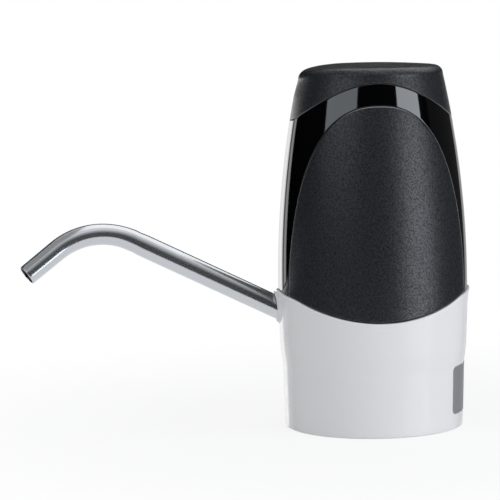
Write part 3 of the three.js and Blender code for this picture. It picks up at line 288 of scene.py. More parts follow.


# Spout: polished stainless steel, its drawn lines and clouds stretched along the tube by its lay
# bore is painted shade: the inside of the tube is coloured near black
steelLook = {"color": (0.585, 0.605, 0.632, 1), "low": (0.505, 0.525, 0.552, 1),
             "bore": (0.05, 0.05, 0.052, 1), "metallic": 0.86, "cloudMetallic": 0.04,
             "lines": (2600, 2600, 45), "lineDepth": 0.000001, "lineStrength": 0.3, "clouds": (160, 160, 60),
             "roughness": 0.15, "lineRoughness": 0.03, "cloudRoughness": 0.02}


def makeSpoutSteel():
    look = Finish("polishedSteel")
    lay = look.node("Attribute", {"attribute_name": "lay"}, "Vector")
    lines = look.noise(1, 4, 0.6, look.node("Mapping", Vector=lay, Scale=steelLook["lines"]))
    cloud = look.noise(1, 2, 0.5, look.node("Mapping", Vector=lay, Scale=steelLook["clouds"]))
    # Places inside the bore are written a metre further along, so one comparison finds them; there the
    # colour is painted near black, as painted shade for the inside of the tube
    inside = look.node("SeparateXYZ", output="Z", Vector=lay).above(0.5)
    drawn = look.blend(lines, steelLook["low"], steelLook["color"])
    rough = lines * steelLook["lineRoughness"] + cloud * steelLook["cloudRoughness"]
    return look.shade(
        BaseColor=look.blend(inside, drawn, steelLook["bore"]),
        Metallic=cloud * steelLook["cloudMetallic"] + steelLook["metallic"],
        Roughness=rough + steelLook["roughness"],
        Normal=look.bump(lines, steelLook["lineDepth"], steelLook["lineStrength"]),
    )


# Circuit board: solder mask with copper tracks under it, on a square raster
boardLook = {"mask": (0.012, 0.095, 0.035, 1), "track": (0.03, 0.17, 0.06, 1), "pitch": 420, "scatter": 0.6,
             "trackEdge": (0.42, 0.5), "roughness": 0.3, "haze": 0.1, "hazeScale": 700,
             "depth": 0.00003, "strength": 0.6}


def makeBoard():
    look = Finish("solderMask")
    cells = look.node("TexVoronoi", {"distance": "MANHATTAN", "feature": "F1"}, Vector=look.place(),
                      Scale=boardLook["pitch"], Randomness=boardLook["scatter"])
    stops = [(place, grey(value)) for value, place in enumerate(boardLook["trackEdge"])]
    tracks = look.node("ValToRGB", {"stops": stops}, Fac=cells)
    return look.shade(
        BaseColor=look.blend(tracks, boardLook["mask"], boardLook["track"]),
        Roughness=look.noise(boardLook["hazeScale"]) * boardLook["haze"] + boardLook["roughness"],
        Normal=look.bump(tracks, boardLook["depth"], boardLook["strength"]),
    )


# Armature: copper windings under lacquer, in fine turns round the poles
windingLook = {"gap": (0.16, 0.05, 0.018, 1), "wire": (0.62, 0.27, 0.11, 1), "turns": 900, "disorder": 1.5,
               "metallic": 0.8, "roughness": 0.3, "wireRoughness": 0.15, "depth": 0.00008, "strength": 0.8}


def makeWindings():
    look = Finish("windings")
    turns = look.node("TexWave", {"bands_direction": "Z"}, Vector=look.place(), Scale=windingLook["turns"],
                      Distortion=windingLook["disorder"])
    return look.shade(
        BaseColor=look.blend(turns, windingLook["gap"], windingLook["wire"]),
        Metallic=windingLook["metallic"],
        Roughness=turns * windingLook["wireRoughness"] + windingLook["roughness"],
        Normal=look.bump(turns, windingLook["depth"], windingLook["strength"]),
    )


finishes = {name: makeFinish(name, **values) for name, values in plainFinishes.items()}
finishes.update({"charcoalGrain": makeGrain(), "polishedSteel": makeSpoutSteel(), "solderMask": makeBoard(),
                 "windings": makeWindings()})

# The record's material slots and their finishes
slotFinishes = {
    "white_gloss": "whiteGloss", "black_gloss": "blackGloss", "charcoal": "charcoalGrain",
    "polished_steel": "groundSteel", "stainless": "groundSteel", "zinc": "zincPlate",
    "silicone": "silicone", "rubber": "nitrile", "acetal": "acetal", "grey_plastic": "greyNylon",
    "black_plastic": "blackPlastic", "ferrite": "ferrite", "windings": "windings", "cell_wrap": "cellWrap",
    "board": "solderMask", "clear_lens": "clearLens", "red_lead": "redLead", "black_lead": "blackLead",
}
for row in frame["record"]["subparts"]:
    for slot in frame["nodes"][row["node"]].material_slots:
        slot.material = finishes[slotFinishes[row["material_slot"]]]
print("finishes done")


# Surfaces
sharpAngle = math.radians(40)


def gridFaces(rows, cols, closedRows, closedCols):
    # Each point makes a quad with its neighbours in the next column and the next row
    row = np.arange(rows if closedRows else rows - 1)
    col = np.arange(cols if closedCols else cols - 1)
    i, j = np.meshgrid(row, col, indexing="ij")
    below, across = (i + 1) % rows * cols, (j + 1) % cols
    return np.stack([i * cols + j, i * cols + across, below + across, below + j], axis=-1).reshape(-1, 4)


def addPiece(name, grids, finish, body, replaced=(), weld=2e-6, lay=None):
    # Each grid is (points, rows closed, columns closed); shared edges are welded and faces turned outwards.
    # lay gives each point a vector for the finish, such as the spout's lay or the strength of a painted edge
    # highlight
    points, faces, start = [], [], 0
    for grid, closedRows, closedCols in grids:
        rows, cols = grid.shape[:2]
        points.append(grid.reshape(-1, 3))
        faces.append(gridFaces(rows, cols, closedRows, closedCols) + start)
        start += rows * cols
    mesh = bpy.data.meshes.new(name)
    mesh.from_pydata(np.concatenate(points).tolist(), [], np.concatenate(faces).tolist())
    if lay is not None:
        layer = mesh.attributes.new("lay", "FLOAT_VECTOR", "POINT")
        layer.data.foreach_set("vector", lay.reshape(-1))
    work = bmesh.new()
    work.from_mesh(mesh)
    bmesh.ops.remove_doubles(work, verts=work.verts, dist=weld)
    bmesh.ops.dissolve_degenerate(work, edges=work.edges, dist=weld / 2)
    bmesh.ops.recalc_face_normals(work, faces=work.faces)
    if work.calc_volume(signed=True) < 0:
        bmesh.ops.reverse_faces(work, faces=work.faces)
    work.to_mesh(mesh)
    work.free()
    mesh.shade_smooth()
    mesh.set_sharp_from_angle(angle=sharpAngle)
    piece = addObject(name, mesh)
    mesh.materials.append(finishes[finish])
    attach(piece, body)
    if replaced:
        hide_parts(*replaced)
    return piece


def cutAway(piece, points, faces):
    # Cuts a closed shape out of a piece for good
    mesh = bpy.data.meshes.new("cutter")
    mesh.from_pydata(points.tolist(), [], faces)
    cutter = addObject("cutter", mesh)
    change = piece.modifiers.new("cut", "BOOLEAN")
    change.object, change.operation, change.solver = cutter, "DIFFERENCE", "EXACT"
    graph = bpy.context.evaluated_depsgraph_get()
    result = bpy.data.meshes.new_from_object(piece.evaluated_get(graph))
    piece.modifiers.clear()
    piece.data = result
    bpy.data.objects.remove(cutter)
    result.set_sharp_from_angle(angle=sharpAngle)


def prismFaces(count):
    # Side walls and both ends of a prism whose points are one outline and then its copy
    sides = [[i, (i + 1) % count, count + (i + 1) % count, count + i] for i in range(count)]
    return sides + [list(range(count))[::-1], list(range(count, 2 * count))]


def rodCutter(centre, axis, radius, low, high, segments=48):
    # A prism of many sides about a line: centre + radius (cos, sin) in the plane square to the axis
    axis = Vector(axis).normalized()
    side = axis.orthogonal().normalized()
    other = axis.cross(side)
    angle = turnsOf(segments)[:, None]
    circle = radius * (np.cos(angle) * np.array(side) + np.sin(angle) * np.array(other))
    points = np.concatenate([np.array(centre) + np.array(axis) * end + circle for end in (low, high)])
    return points, prismFaces(segments)


def spread(start, end, steps):
    return np.linspace(start, end, steps + 1)


def turnsOf(count):
    return np.linspace(0, 2 * math.pi, count, endpoint=False)


def smooth(value, low, high):
    # An S-shaped rise from 0 to 1
    share = np.clip((value - low) / (high - low), 0, 1)
    return share * share * (3 - 2 * share)


def rounding(distance, radius):
    # How far a quarter-round edge stands back, by the distance from it
    inside = np.clip(radius - distance, 0, radius)
    return radius - np.sqrt(radius ** 2 - inside ** 2)


def quarterRound(steps, start=0, end=halfPi):
    # A quarter round of radius 1 at even angles, as distances back from its two sides
    angle = spread(start, end, steps)
    return np.stack([1 - np.cos(angle), 1 - np.sin(angle)], axis=-1)


def roundSteps(radius):
    # Distances from an edge at even angles of its quarter round
    return radius * quarterRound(4)[:, 0]


# Outer forms, as radius against height above the rim: the base, the body above it, the edge and the seam
# that cross them, and the arch of the side panels
form = {"rimRadius": 0.03185, "shoulderFoot": 0.0222, "skirtTop": 0.0324, "shoulderHead": 0.0284,
        "shoulderRadius": 0.0333, "baseHead": 0.051, "baseTop": 0.03425, "crease": 0.0005,
        "flip": 0.0007, "flipFade": 0.008,
        "belly": 0.03385, "bellyHeight": 0.052, "brim": 0.0258, "brimHeight": 0.126, "height": 0.130,
        "edgeLow": 0.04075, "edgeArc": 0.0664, "edgeEase": 0.0009, "edgeEaseStart": 0.029,
        "seamPeak": 0.124, "seamFall": 0.0184, "seamPower": 1.8,
        "archWidth": 0.0314, "archFoot": 0.039, "archPeak": 0.116, "archPower": 2.45}
bodyRise = form["brimHeight"] - form["bellyHeight"]
bodyTaper = form["belly"] - form["brim"]
bodyArc = (bodyRise ** 2 + bodyTaper ** 2) / (2 * bodyTaper)


def bodyRadius(z):
    # One long arc, upright at the belly and drawn in towards the brim
    return form["belly"] - bodyArc + np.sqrt(bodyArc ** 2 - (z - form["bellyHeight"]) ** 2)


def baseRadius(z):
    # Three cones, skirt, shoulder and flared top: each slope starts past its height, eased like a hyperbola
    foot, head = form["shoulderFoot"], form["shoulderHead"]
    slopes = [(form["skirtTop"] - form["rimRadius"]) / foot,
              (form["shoulderRadius"] - form["skirtTop"]) / (head - foot),
              (form["baseTop"] - form["shoulderRadius"]) / (form["baseHead"] - head)]
    radius = form["rimRadius"] + slopes[0] * z
    for start, before, after in ((foot, slopes[0], slopes[1]), (head, slopes[1], slopes[2])):
        past = z - start
        radius = radius + (after - before) * (past + np.sqrt(past ** 2 + form["crease"] ** 2)) / 2
    return radius + form["flip"] * smooth(z, form["baseHead"] - form["flipFade"], form["baseHead"]) ** 2


def edgeHeight(x, gap=0.0):
    # The base's top edge: a circle's arc that dips at the pump's sides and eases off at its ends
    arc = form["edgeLow"] + form["edgeArc"] - np.sqrt((form["edgeArc"] - gap) ** 2 - x ** 2)
    return arc - form["edgeEase"] * smooth(np.abs(x), form["edgeEaseStart"], form["baseTop"])


def seamHeight(x, gap=0.0):
    # The cap's lower edge: highest at the pump's sides, and falling with a power of x
    return form["seamPeak"] + gap - form["seamFall"] * (np.abs(x) / form["belly"]) ** form["seamPower"]


def settle(heightAt, radiusAt, turn, tries=30):
    # Height where an edge given over x meets a surface of revolution, found by repeated substitution
    z = heightAt(form["belly"] * np.sin(turn))
    for _ in range(tries):
        z = 0.5 * z + 0.5 * heightAt(radiusAt(z) * np.sin(turn))
    return z


def ring(radius, z, turn):
    # Turn 0 faces the camera side (-Y) and grows towards +X
    x, y = radius * np.sin(turn), -radius * np.cos(turn)
    return np.stack([x, y, np.broadcast_to(z + rimZ, x.shape)], axis=-1)


# White base shell: outer wall, rounded rim and top edge, inner wall
baseShell = {"turns": 288, "rows": 64, "innerRows": 12, "wall": 0.0018, "rimRound": 0.0007,
             "topRound": 0.00055}


def makeBaseShell():
    # Column by column: the profile's height is stretched so that its top follows the curved edge
    turn = turnsOf(baseShell["turns"])
    top = settle(edgeHeight, baseRadius, turn)
    wall, rimRound, topRound = baseShell["wall"], baseShell["rimRound"], baseShell["topRound"]
    rows = []

    def put(offset, z):
        rows.append(ring(baseRadius(z) + offset, z, turn))

    for back, down in quarterRound(5, halfPi, 0):
        put(-rimRound * back, rimRound * down)
    for share in spread(0, 1, baseShell["rows"])[1:]:
        put(0, rimRound + (top - topRound - rimRound) * share)
    for back, down in quarterRound(5)[1:]:
        put(-topRound * back, top - topRound * down)
    for back, down in quarterRound(5, halfPi, 0):
        put(-wall + topRound * back, top - topRound * down)
    for share in spread(0, 1, baseShell["innerRows"])[1:]:
        put(-wall, (top - topRound) * (1 - share))
    return addPiece("baseShell", [(np.array(rows), True, True)], "whiteGloss", "pump",
                    ["base_shell"])


# Spout, from its entry in the base's wall: a straight run, one bend and an end; pitch, swivel and bend in
# degrees. It flattens to crestShare in the bend and to endShare at its end, with a dent before the bend
spout = {"height": 0.04289, "pitch": 26.1, "swivel": 15.0, "radius": 0.004, "wall": 0.0005,
         "insertion": 0.0082, "straight": 0.0574, "bendRadius": 0.0259, "bend": 64.2, "end": 0.0141,
         "steps": (60, 72, 16), "sides": 72, "crestShare": 0.945, "crestStart": 0.006,
         "crestFull": 0.008, "endShare": 0.92, "endFade": 0.008,
         "dent": 0.00013, "dentPlace": 0.0015, "dentWidth": 0.0011, "lip": 0.0001}
spoutPitch = math.radians(spout["pitch"])
spoutEntry = np.array([-baseRadius(spout["height"]), 0, spout["height"] + rimZ])
spoutAxis = np.array([-math.cos(spoutPitch), 0, math.sin(spoutPitch)])
spoutUp = np.array([math.sin(spoutPitch), 0, math.cos(spoutPitch)])
spoutSide = np.cross(spoutUp, spoutAxis)

# Boss: a ring round the spout, with a fillet at its foot given as (out, up) from its outside
boss = {"bore": 0.0043, "wall": 0.0005, "rise": 0.001, "edge": 0.0003, "sunk": 0.002, "sides": 96,
        "fillet": ((0.0004, -0.0002), (0.00012, 0.00006), (0.0, 0.0003)),
        "tries": 12, "cutSpare": 0.0003, "cutIn": 0.008, "cutOut": 0.006}


def makeBoss():
    # Each point slides along the spout's axis until it meets the base's form plus its row's rise
    angle = turnsOf(boss["sides"])
    bore, rise, edge = boss["bore"], boss["rise"], boss["edge"]
    outer = bore + boss["wall"]
    rows = [(outer + out, up) for out, up in boss["fillet"]]
    rows += [(outer - edge * back, rise - edge * down) for back, down in quarterRound(4)]
    rows += [(bore + edge * back, rise - edge * down) for back, down in quarterRound(4, halfPi, 0)]
    rows += [(bore, -boss["sunk"]), (outer + boss["fillet"][0][0], -boss["sunk"])]
    grid = []
    for radius, height in rows:
        out = radius * (np.cos(angle)[:, None] * spoutUp + np.sin(angle)[:, None] * spoutSide)
        slide = np.zeros_like(angle)
        for _ in range(boss["tries"]):
            point = spoutEntry + out + slide[:, None] * spoutAxis
            reach = np.hypot(point[:, 0], point[:, 1])
            slide += (baseRadius(point[:, 2] - rimZ) + height - reach) / math.cos(spoutPitch)
        grid.append(spoutEntry + out + slide[:, None] * spoutAxis)
    return addPiece("spoutBoss", [(np.array(grid), True, True)], "whiteGloss", "pump")


def makeSpoutTube():
    # A ring section carried along the path; forward and drop are its way in the plane of the bend
    bend = math.radians(spout["bend"])
    radius, straight, lip, bendRadius = (spout[key] for key in ("radius", "straight", "lip", "bendRadius"))
    bendEnd = straight + bendRadius * bend
    total = bendEnd + spout["end"]
    marks = [-spout["insertion"], straight, bendEnd, total - 2 * lip]
    runs = [spread(*marks[i:i + 2], count)[min(i, 1):] for i, count in enumerate(spout["steps"])]
    along = np.concatenate(runs)
    swivel = math.radians(spout["swivel"])
    side = spoutSide * math.cos(swivel) + spoutUp * math.sin(swivel)
    up = spoutUp * math.cos(swivel) - spoutSide * math.sin(swivel)
    angle = turnsOf(spout["sides"])

    def rings(along, radius):
        turn = np.clip((along - straight) / bendRadius, 0, bend)
        rest = along - bendRadius * turn
        end = np.maximum(rest - straight, 0)
        forward = np.minimum(rest, straight) + bendRadius * np.sin(turn) + end * np.cos(turn)
        drop = bendRadius * (1 - np.cos(turn)) + end * np.sin(turn)
        centre = spoutEntry + forward[:, None] * spoutAxis - drop[:, None] * up
        normal = np.sin(turn)[:, None] * spoutAxis + np.cos(turn)[:, None] * up
        crest = smooth(along, straight - spout["crestStart"], straight + spout["crestFull"])
        last = smooth(along, bendEnd - spout["endFade"], total)
        flat = 1 - (1 - spout["crestShare"]) * crest - (spout["crestShare"] - spout["endShare"]) * last
        dent = spout["dent"] * np.exp(-((along - straight + spout["dentPlace"]) / spout["dentWidth"]) ** 2)
        tall = radius * flat - dent
        return (centre[:, None] + (np.cos(angle) * tall[:, None])[..., None] * normal[:, None]
                + (np.sin(angle) * radius)[:, None] * side)

    inside = radius - spout["wall"]
    # The end is eased over the lip's width
    lips = [(total - lip, radius - 0.4 * lip), (total, radius - 1.4 * lip), (total, inside + lip)]
    lipRings = [rings(np.array([place]), reach) for place, reach in lips]
    grid = np.concatenate([rings(along, radius), *lipRings, rings(along[::-1], inside)])
    places = np.concatenate([along, [place for place, _ in lips], along[::-1] + 1])
    across = [np.tile(radius * wave(angle), (len(places), 1)) for wave in (np.cos, np.sin)]
    lay = np.stack([*across, np.tile(places[:, None], (1, len(angle)))], axis=-1)
    return addPiece("spoutTube", [(grid, True, True)], "polishedSteel", "spout",
                    ["spout_tube"], lay=lay)


# Unrolled body: s runs round the housing from the middle of a side, at the belly's radius
fine = {"arch": 6000, "archPoints": 4000, "line": 1200, "slope": 400}


def unroll(x, z):
    # The belly's radius times the turn at which the body has this x
    return form["belly"] * np.arcsin(np.clip(x / bodyRadius(z), -1, 1))


def onBody(s, z, depth, side):
    # side -1 is the camera side; depth goes in from the housing's outer form
    radius = bodyRadius(z) - depth
    turn = s / form["belly"]
    return np.stack([radius * np.sin(turn), side * radius * np.cos(turn), z + rimZ], axis=-1)


def edgeAt(s, gap):
    # Height of the base's top edge plus a gap, at s
    return settle(lambda x: edgeHeight(x, gap), bodyRadius, s / form["belly"])


def seamAt(s):
    # Height of the cap's seam, at s
    return settle(seamHeight, bodyRadius, s / form["belly"])


def travelled(curve):
    # Length of a curve up to each of its points
    return np.concatenate([[0], np.cumsum(np.hypot(*np.diff(curve, axis=0).T))])


def resample(curve, shares):
    # Points of a curve at the given shares of its length
    length = travelled(curve)
    length /= length[-1]
    return np.stack([np.interp(shares, length, curve[:, axis]) for axis in (0, 1)], axis=-1)


def archCurve(offset, edgeGap):
    # Half a superellipse, moved outwards by offset and cut off above the base's edge
    turn = spread(math.pi, 0, fine["arch"])
    cosine, sine = np.cos(turn), np.sin(turn)
    power = 2 / form["archPower"]
    x = form["archWidth"] * np.sign(cosine) * np.abs(cosine) ** power
    z = form["archFoot"] + (form["archPeak"] - form["archFoot"]) * np.abs(sine) ** power
    curve = resample(np.stack([unroll(x, z), z], axis=-1), spread(0, 1, fine["archPoints"]))
    along = np.gradient(curve, axis=0)
    along /= np.hypot(along[:, 0], along[:, 1])[:, None]
    curve = curve + offset * np.stack([-along[:, 1], along[:, 0]], axis=-1)
    above = curve[:, 1] > edgeAt(curve[:, 0], edgeGap)
    first, last = np.argmax(above), len(above) - 1 - np.argmax(above[::-1])
    curve = curve[first:last + 1]
    ends = curve[[0, -1], 0]
    feet = np.stack([ends, edgeAt(ends, edgeGap)], axis=-1)
    return np.concatenate([feet[:1], curve, feet[1:]])


def sharesWithRounds(length, radius, step):
    # Even shares of a curve, with the steps of an edge's round at both ends
    near = roundSteps(radius) / length
    inside = spread(near[-1], 1 - near[-1], int(length / step))
    return np.concatenate([near[:-1], inside, 1 - near[:-1][::-1]])


def backAlongEdge(row, gap):
    # From a row's last point back to its first along the base's edge, both ends left out
    s = np.linspace(row[-1, 0], row[0, 0], panel["footPoints"] + 2)[1:-1]
    return np.stack([s, edgeAt(s, gap)], axis=-1)


# Side panels; archLength is about the arch's own, and spaces its points a step apart. The last entry is the
# share of the painted edge highlight where the arch runs level, beside 1 where it runs upright
panel = {"edgeGap": 0.0004, "round": 0.0003, "thick": 0.0013, "archLength": 0.17, "step": 0.001,
         "footPoints": 78, "rings": 44, "backRings": 8, "centre": (0.0, 0.076), "paleLevel": 0.35}


def panelRing(inset):
    # Closed outline of a panel, drawn in by inset: the arch, then back along the base's edge
    arch = archCurve(-inset, panel["edgeGap"] + inset)
    arch = resample(arch, sharesWithRounds(panel["archLength"], panel["round"], panel["step"]))
    return np.concatenate([arch, backAlongEdge(arch, panel["edgeGap"] + inset)])


def makePanel(name, side, node):
    # Rings drawn in from the outline, rounded at the edge, then even rings to the middle, front and back
    steps = roundSteps(panel["round"])
    rings = [panelRing(inset) for inset in steps]
    middle = np.array(panel["centre"])
    inner = [middle + (rings[-1] - middle) * share for share in spread(1, 0, panel["rings"])[1:]]
    front = [(r, rounding(inset, panel["round"])) for r, inset in zip(rings, steps)]
    front += [(r, 0) for r in inner]
    every = panel["backRings"]
    back = [(r, panel["thick"]) for r in (rings[0], rings[-1], *inner[every // 2 - 1::every])]
    grid = np.array([onBody(r[:, 0], r[:, 1], depth, side) for r, depth in front[::-1] + back])
    # Painted edge highlight, for the light caught where the edge faces sideways or up: it fades with the
    # square of the difference between its level and upright runs
    foot = -panel["footPoints"]
    run = np.gradient(rings[0][:foot], axis=0)
    run /= np.hypot(*run.T)[:, None]
    level, upright = run[:, 0] ** 2, run[:, 1] ** 2
    line = (level - upright) ** 2 * (panel["paleLevel"] + (1 - panel["paleLevel"]) * upright)
    edges = np.zeros(grid.shape)
    edges[len(inner) + 1:len(inner) + len(rings), :foot] = line[:, None]
    return addPiece(name, [(grid, False, True)], "charcoalGrain", "pump", [node], lay=edges)


# Upper housing, one half for each side. Every row has as many points: up the front leg, across the top and
# down the rear leg; cornerHeight is where the arch's legs turn into its top
housing = {"archGap": 0.00018, "edgeGap": 0.00025, "round": 0.0002, "wall": 0.003, "recess": 0.0016,
           "cornerHeight": 0.101, "cornerShare": 0.02, "legPoints": 56, "cornerPoints": 12, "topPoints": 150,
           "rows": 40, "footStart": 0.002, "footEnd": 0.02, "floorRings": 12, "innerRings": 16, "weld": 4e-6}


def makeHousingSide(side):
    # Rows follow the arch, then the cap's seam and the front and rear lines; between them rows are blended
    edgeGap, radius, wall = housing["edgeGap"], housing["round"], housing["wall"]
    reach = halfPi * form["belly"]
    steps = roundSteps(radius)
    outline = archCurve(housing["archGap"], edgeGap)
    length, half = travelled(outline), len(outline) // 2
    corner = np.interp(housing["cornerHeight"], outline[:half, 1], length[:half]) / length[-1]
    near = steps / length[-1]
    bend = corner - housing["cornerShare"]
    leg = np.concatenate([near, np.linspace(near[-1], bend, housing["legPoints"])[1:],
                          np.linspace(bend, corner, housing["cornerPoints"])[1:]])
    across = np.linspace(corner, 1 - corner, housing["topPoints"])[1:-1]
    shares = np.concatenate([leg, across, 1 - leg[::-1]])

    def outer(inset):
        # Straight up the front line, along the seam and down the rear line
        line = reach - inset
        foot, head = edgeAt(np.array([-line]), edgeGap)[0], seamAt(np.array([-line]))[0] - inset
        up = np.stack([np.full_like(leg, -line), foot + (head - foot) * leg / corner], axis=-1)
        s = spread(-line, line, fine["line"])
        top = np.stack([s, seamAt(s) - inset], axis=-1)
        top = resample(top, np.linspace(0, 1, housing["topPoints"])[1:-1])
        return np.concatenate([up, top, up[::-1] * np.array([-1, 1])])

    archRows = [resample(archCurve(housing["archGap"] + inset, edgeGap), shares) for inset in steps]
    outerRows = [outer(inset) for inset in steps[::-1]]
    low, high = archRows[-1], outerRows[0]
    between = [low + (high - low) * share for share in spread(0, 1, housing["rows"])[1:-1]]
    rows = np.array(archRows + between + outerRows)
    fix = edgeAt(rows[:, 0, 0], edgeGap) - rows[:, 0, 1]
    fade = 1 - smooth(rows[:, :, 1] - rows[:, :1, 1], housing["footStart"], housing["footEnd"])
    rows[:, :, 1] += fix[:, None] * fade
    s, z = rows[..., 0], rows[..., 1]
    # The three edges are rounded: at the arch, at the seam, whose slope tilts its distance, and at the base
    depth = np.zeros(s.shape)
    depth[:len(steps)] = rounding(steps, radius)[:, None]
    places = spread(-reach, reach, fine["slope"])
    slope = np.gradient(seamAt(places), places[1] - places[0])
    tilt = 1 / np.hypot(1, np.interp(s, places, slope))
    depth = np.maximum(depth, rounding((seamAt(s) - z) * tilt, radius))
    depth = np.maximum(depth, rounding(z - edgeAt(s, edgeGap), radius))
    skin = onBody(s, z, depth, side)

    def ribbon(line, *depths):
        # A line carried inwards through the given depths
        return np.array([onBody(line[:, 0], line[:, 1], inwards, side) for inwards in depths])

    def returned(line, edge, first, *others):
        # A ribbon from a rounded edge, halved on its first way in
        return ribbon(line, *[edge + (first - edge) * share for share in (0, 0.5, 1)], *others)

    def filled(loop, inwards, count):
        # A closed loop shrunk to the panel's centre in even rings
        middle = np.array(panel["centre"])
        loops = [middle + (loop - middle) * share for share in spread(1, 0, count)]
        return np.concatenate([ribbon(line, inwards) for line in loops])

    arch, recess = rows[0], housing["recess"]
    top = slice(len(leg) - 1, len(shares) - len(leg) + 1)
    sill = backAlongEdge(arch, edgeGap)
    sillWall = ribbon(np.concatenate([arch[-1:], sill, arch[:1]]), recess, wall)
    floor = filled(np.concatenate([arch, sill]), recess, housing["floorRings"])
    # The inner skin's outline goes up the front line, over the top and back along the base's edge
    behind = np.concatenate([rows[-1], rows[::-1, -1][1:], sill, rows[:, 0][:-1]])
    inner = filled(behind, wall, housing["innerRings"])
    archWall = returned(arch, depth[0], recess)
    topWall = returned(rows[-1][top], depth[-1][top], wall)
    footWalls = [returned(rows[:, end], depth[:, end], recess, wall) for end in (0, -1)]
    sheets = (skin, archWall, topWall, floor, sillWall, inner, *footWalls)
    return [(sheet, False, sheet is floor or sheet is inner) for sheet in sheets]


# Charging port: a plug recess in the rear wall and a slot before the socket: half width, half height, corner
port = {"height": 0.1051, "recess": (0.00575, 0.0035, 0.00175), "recessDepth": 0.0014,
        "slot": (0.00405, 0.0016, 0.0005), "slotDepth": 0.0045, "spare": 0.002}


def plateCutter(halfY, halfZ, corner, near, far, height):
    # A rounded rectangle in Y and Z, drawn from near to far along X
    sweep = spread(0, halfPi, 6)
    points = []
    for quarter, (signY, signZ) in enumerate([(1, 1), (-1, 1), (-1, -1), (1, -1)]):
        angle = sweep + quarter * halfPi
        points.append(np.stack([signY * (halfY - corner) + corner * np.cos(angle),
                                height + signZ * (halfZ - corner) + corner * np.sin(angle)], axis=-1))
    outline = np.concatenate(points)
    count = len(outline)
    points = np.concatenate([np.column_stack([np.full(count, x), outline]) for x in (near, far)])
    return points, prismFaces(count)


def makeHousing():
    grids = makeHousingSide(-1) + makeHousingSide(1)
    piece = addPiece("upperHousing", grids, "blackGloss", "pump", ["upper_housing"],
                     weld=housing["weld"])
    reach = bodyRadius(port["height"])
    for part in ("recess", "slot"):
        near, far = reach - port[part + "Depth"], reach + port["spare"]
        cutAway(piece, *plateCutter(*port[part], near, far, port["height"] + rimZ))


# Cap: side wall from the seam up, rounded brim, low crown and the button's opening. Ahead of the button the
# crown sinks towards the spout; lensPlace is the indicator's hole behind the button
# The last three entries set a painted highlight along the rounded edge at the seam, standing in for the
# light it catches
cap = {"turns": 288, "rows": 40, "brimRows": 16, "crownRows": 24, "innerRows": 8, "seamGap": 0.00018,
       "round": 0.00025, "wall": 0.002, "crownRadius": 0.0226, "crownRise": 0.0009,
       "hole": 0.0088, "holeRound": 0.0004, "skirt": 0.002, "skirtWall": 0.0012, "roofFoot": 0.1273,
       "roofCorner": 0.001, "noseDrop": 0.0017, "noseStart": 0.009, "noseFade": 0.008,
       "lensPlace": 0.013, "lensHole": 0.0017, "lensDepth": 0.006, "lensSpare": 0.002,
       "pale": 0.05, "paleEnds": 0.55, "palePower": 8}


def crownHeight(radius):
    # The crown falls with the square of the radius
    return form["height"] - cap["crownRise"] * (radius / cap["crownRadius"]) ** 2


def dropNose(grid):
    # Points ahead of the button sink with the square of their distance
    share = np.maximum(-grid[..., 0] - cap["noseStart"], 0) / (form["brim"] - cap["noseStart"])
    fade = smooth(grid[..., 2] - rimZ, form["brimHeight"] - cap["noseFade"], form["brimHeight"])
    grid[..., 2] -= cap["noseDrop"] * share ** 2 * fade
    return grid


def makeCap():
    # A closed profile for each turn: up the outside, over the brim, down the opening and back under the roof
    turn = turnsOf(cap["turns"])
    foot = settle(lambda x: seamHeight(x, cap["seamGap"]), bodyRadius, turn)
    radius, hole, holeRound, crown = (cap[key] for key in ("round", "hole", "holeRound", "crownRadius"))
    brim, roof, corner = form["brimHeight"], cap["roofFoot"], cap["roofCorner"]
    rows = []

    def put(reach, z):
        rows.append(ring(reach, z, turn))

    for back, down in quarterRound(4):
        z = foot + radius * back
        put(bodyRadius(z) - radius * down, z)
    highlightRows = len(rows) - 1
    for share in spread(0, 1, cap["rows"])[1:]:
        z = foot + radius + (brim - foot - radius) * share
        put(bodyRadius(z), z)
    crownEdge = crownHeight(crown)
    for back, down in quarterRound(cap["brimRows"])[1:]:
        put(form["brim"] - (form["brim"] - crown) * back, crownEdge - (crownEdge - brim) * down)
    for reach in spread(crown, hole + holeRound, cap["crownRows"])[1:]:
        put(reach, crownHeight(reach))
    for back, down in quarterRound(4)[1:]:
        put(hole + holeRound * down, crownHeight(hole) - holeRound * back)
    put(hole, roof - cap["skirt"])
    put(hole + cap["skirtWall"], roof - cap["skirt"])
    put(hole + cap["skirtWall"], roof)
    put(bodyRadius(roof) - cap["wall"] - corner, roof)
    for share in spread(0, 1, cap["innerRows"]):
        z = roof - corner + (foot - roof + corner) * share
        put(bodyRadius(z) - cap["wall"], z)
    grid = dropNose(np.array(rows))
    # A painted highlight along the seam's round, for the light it catches: it grows towards the cap's front
    # and rear with a power of the turn's sine
    edges = np.zeros(grid.shape)
    edges[:highlightRows] = (cap["pale"] + cap["paleEnds"] * np.abs(np.sin(turn)) ** cap["palePower"])[:, None]
    piece = addPiece("topCap", [(grid, True, True)], "charcoalGrain", "pump", ["top_cap"],
                     lay=edges)
    lensTop = (cap["lensPlace"], 0, form["height"] + rimZ)
    cutAway(piece, *rodCutter(lensTop, (0, 0, 1), cap["lensHole"], -cap["lensDepth"], cap["lensSpare"]))
    return piece


# Button: a dished plate with a skirt, a flange and a stem; plate and drop count from the top
button = {"radius": 0.0085, "dish": 0.0005, "drop": 0.00012, "round": 0.0006, "roundRows": 6,
          "plate": 0.0025, "skirt": 0.0012, "flange": 0.0097, "flangeTop": 0.125, "flangeFoot": 0.1238,
          "stem": 0.0018, "stemFoot": 0.1133, "turns": 96, "dishRows": 20}


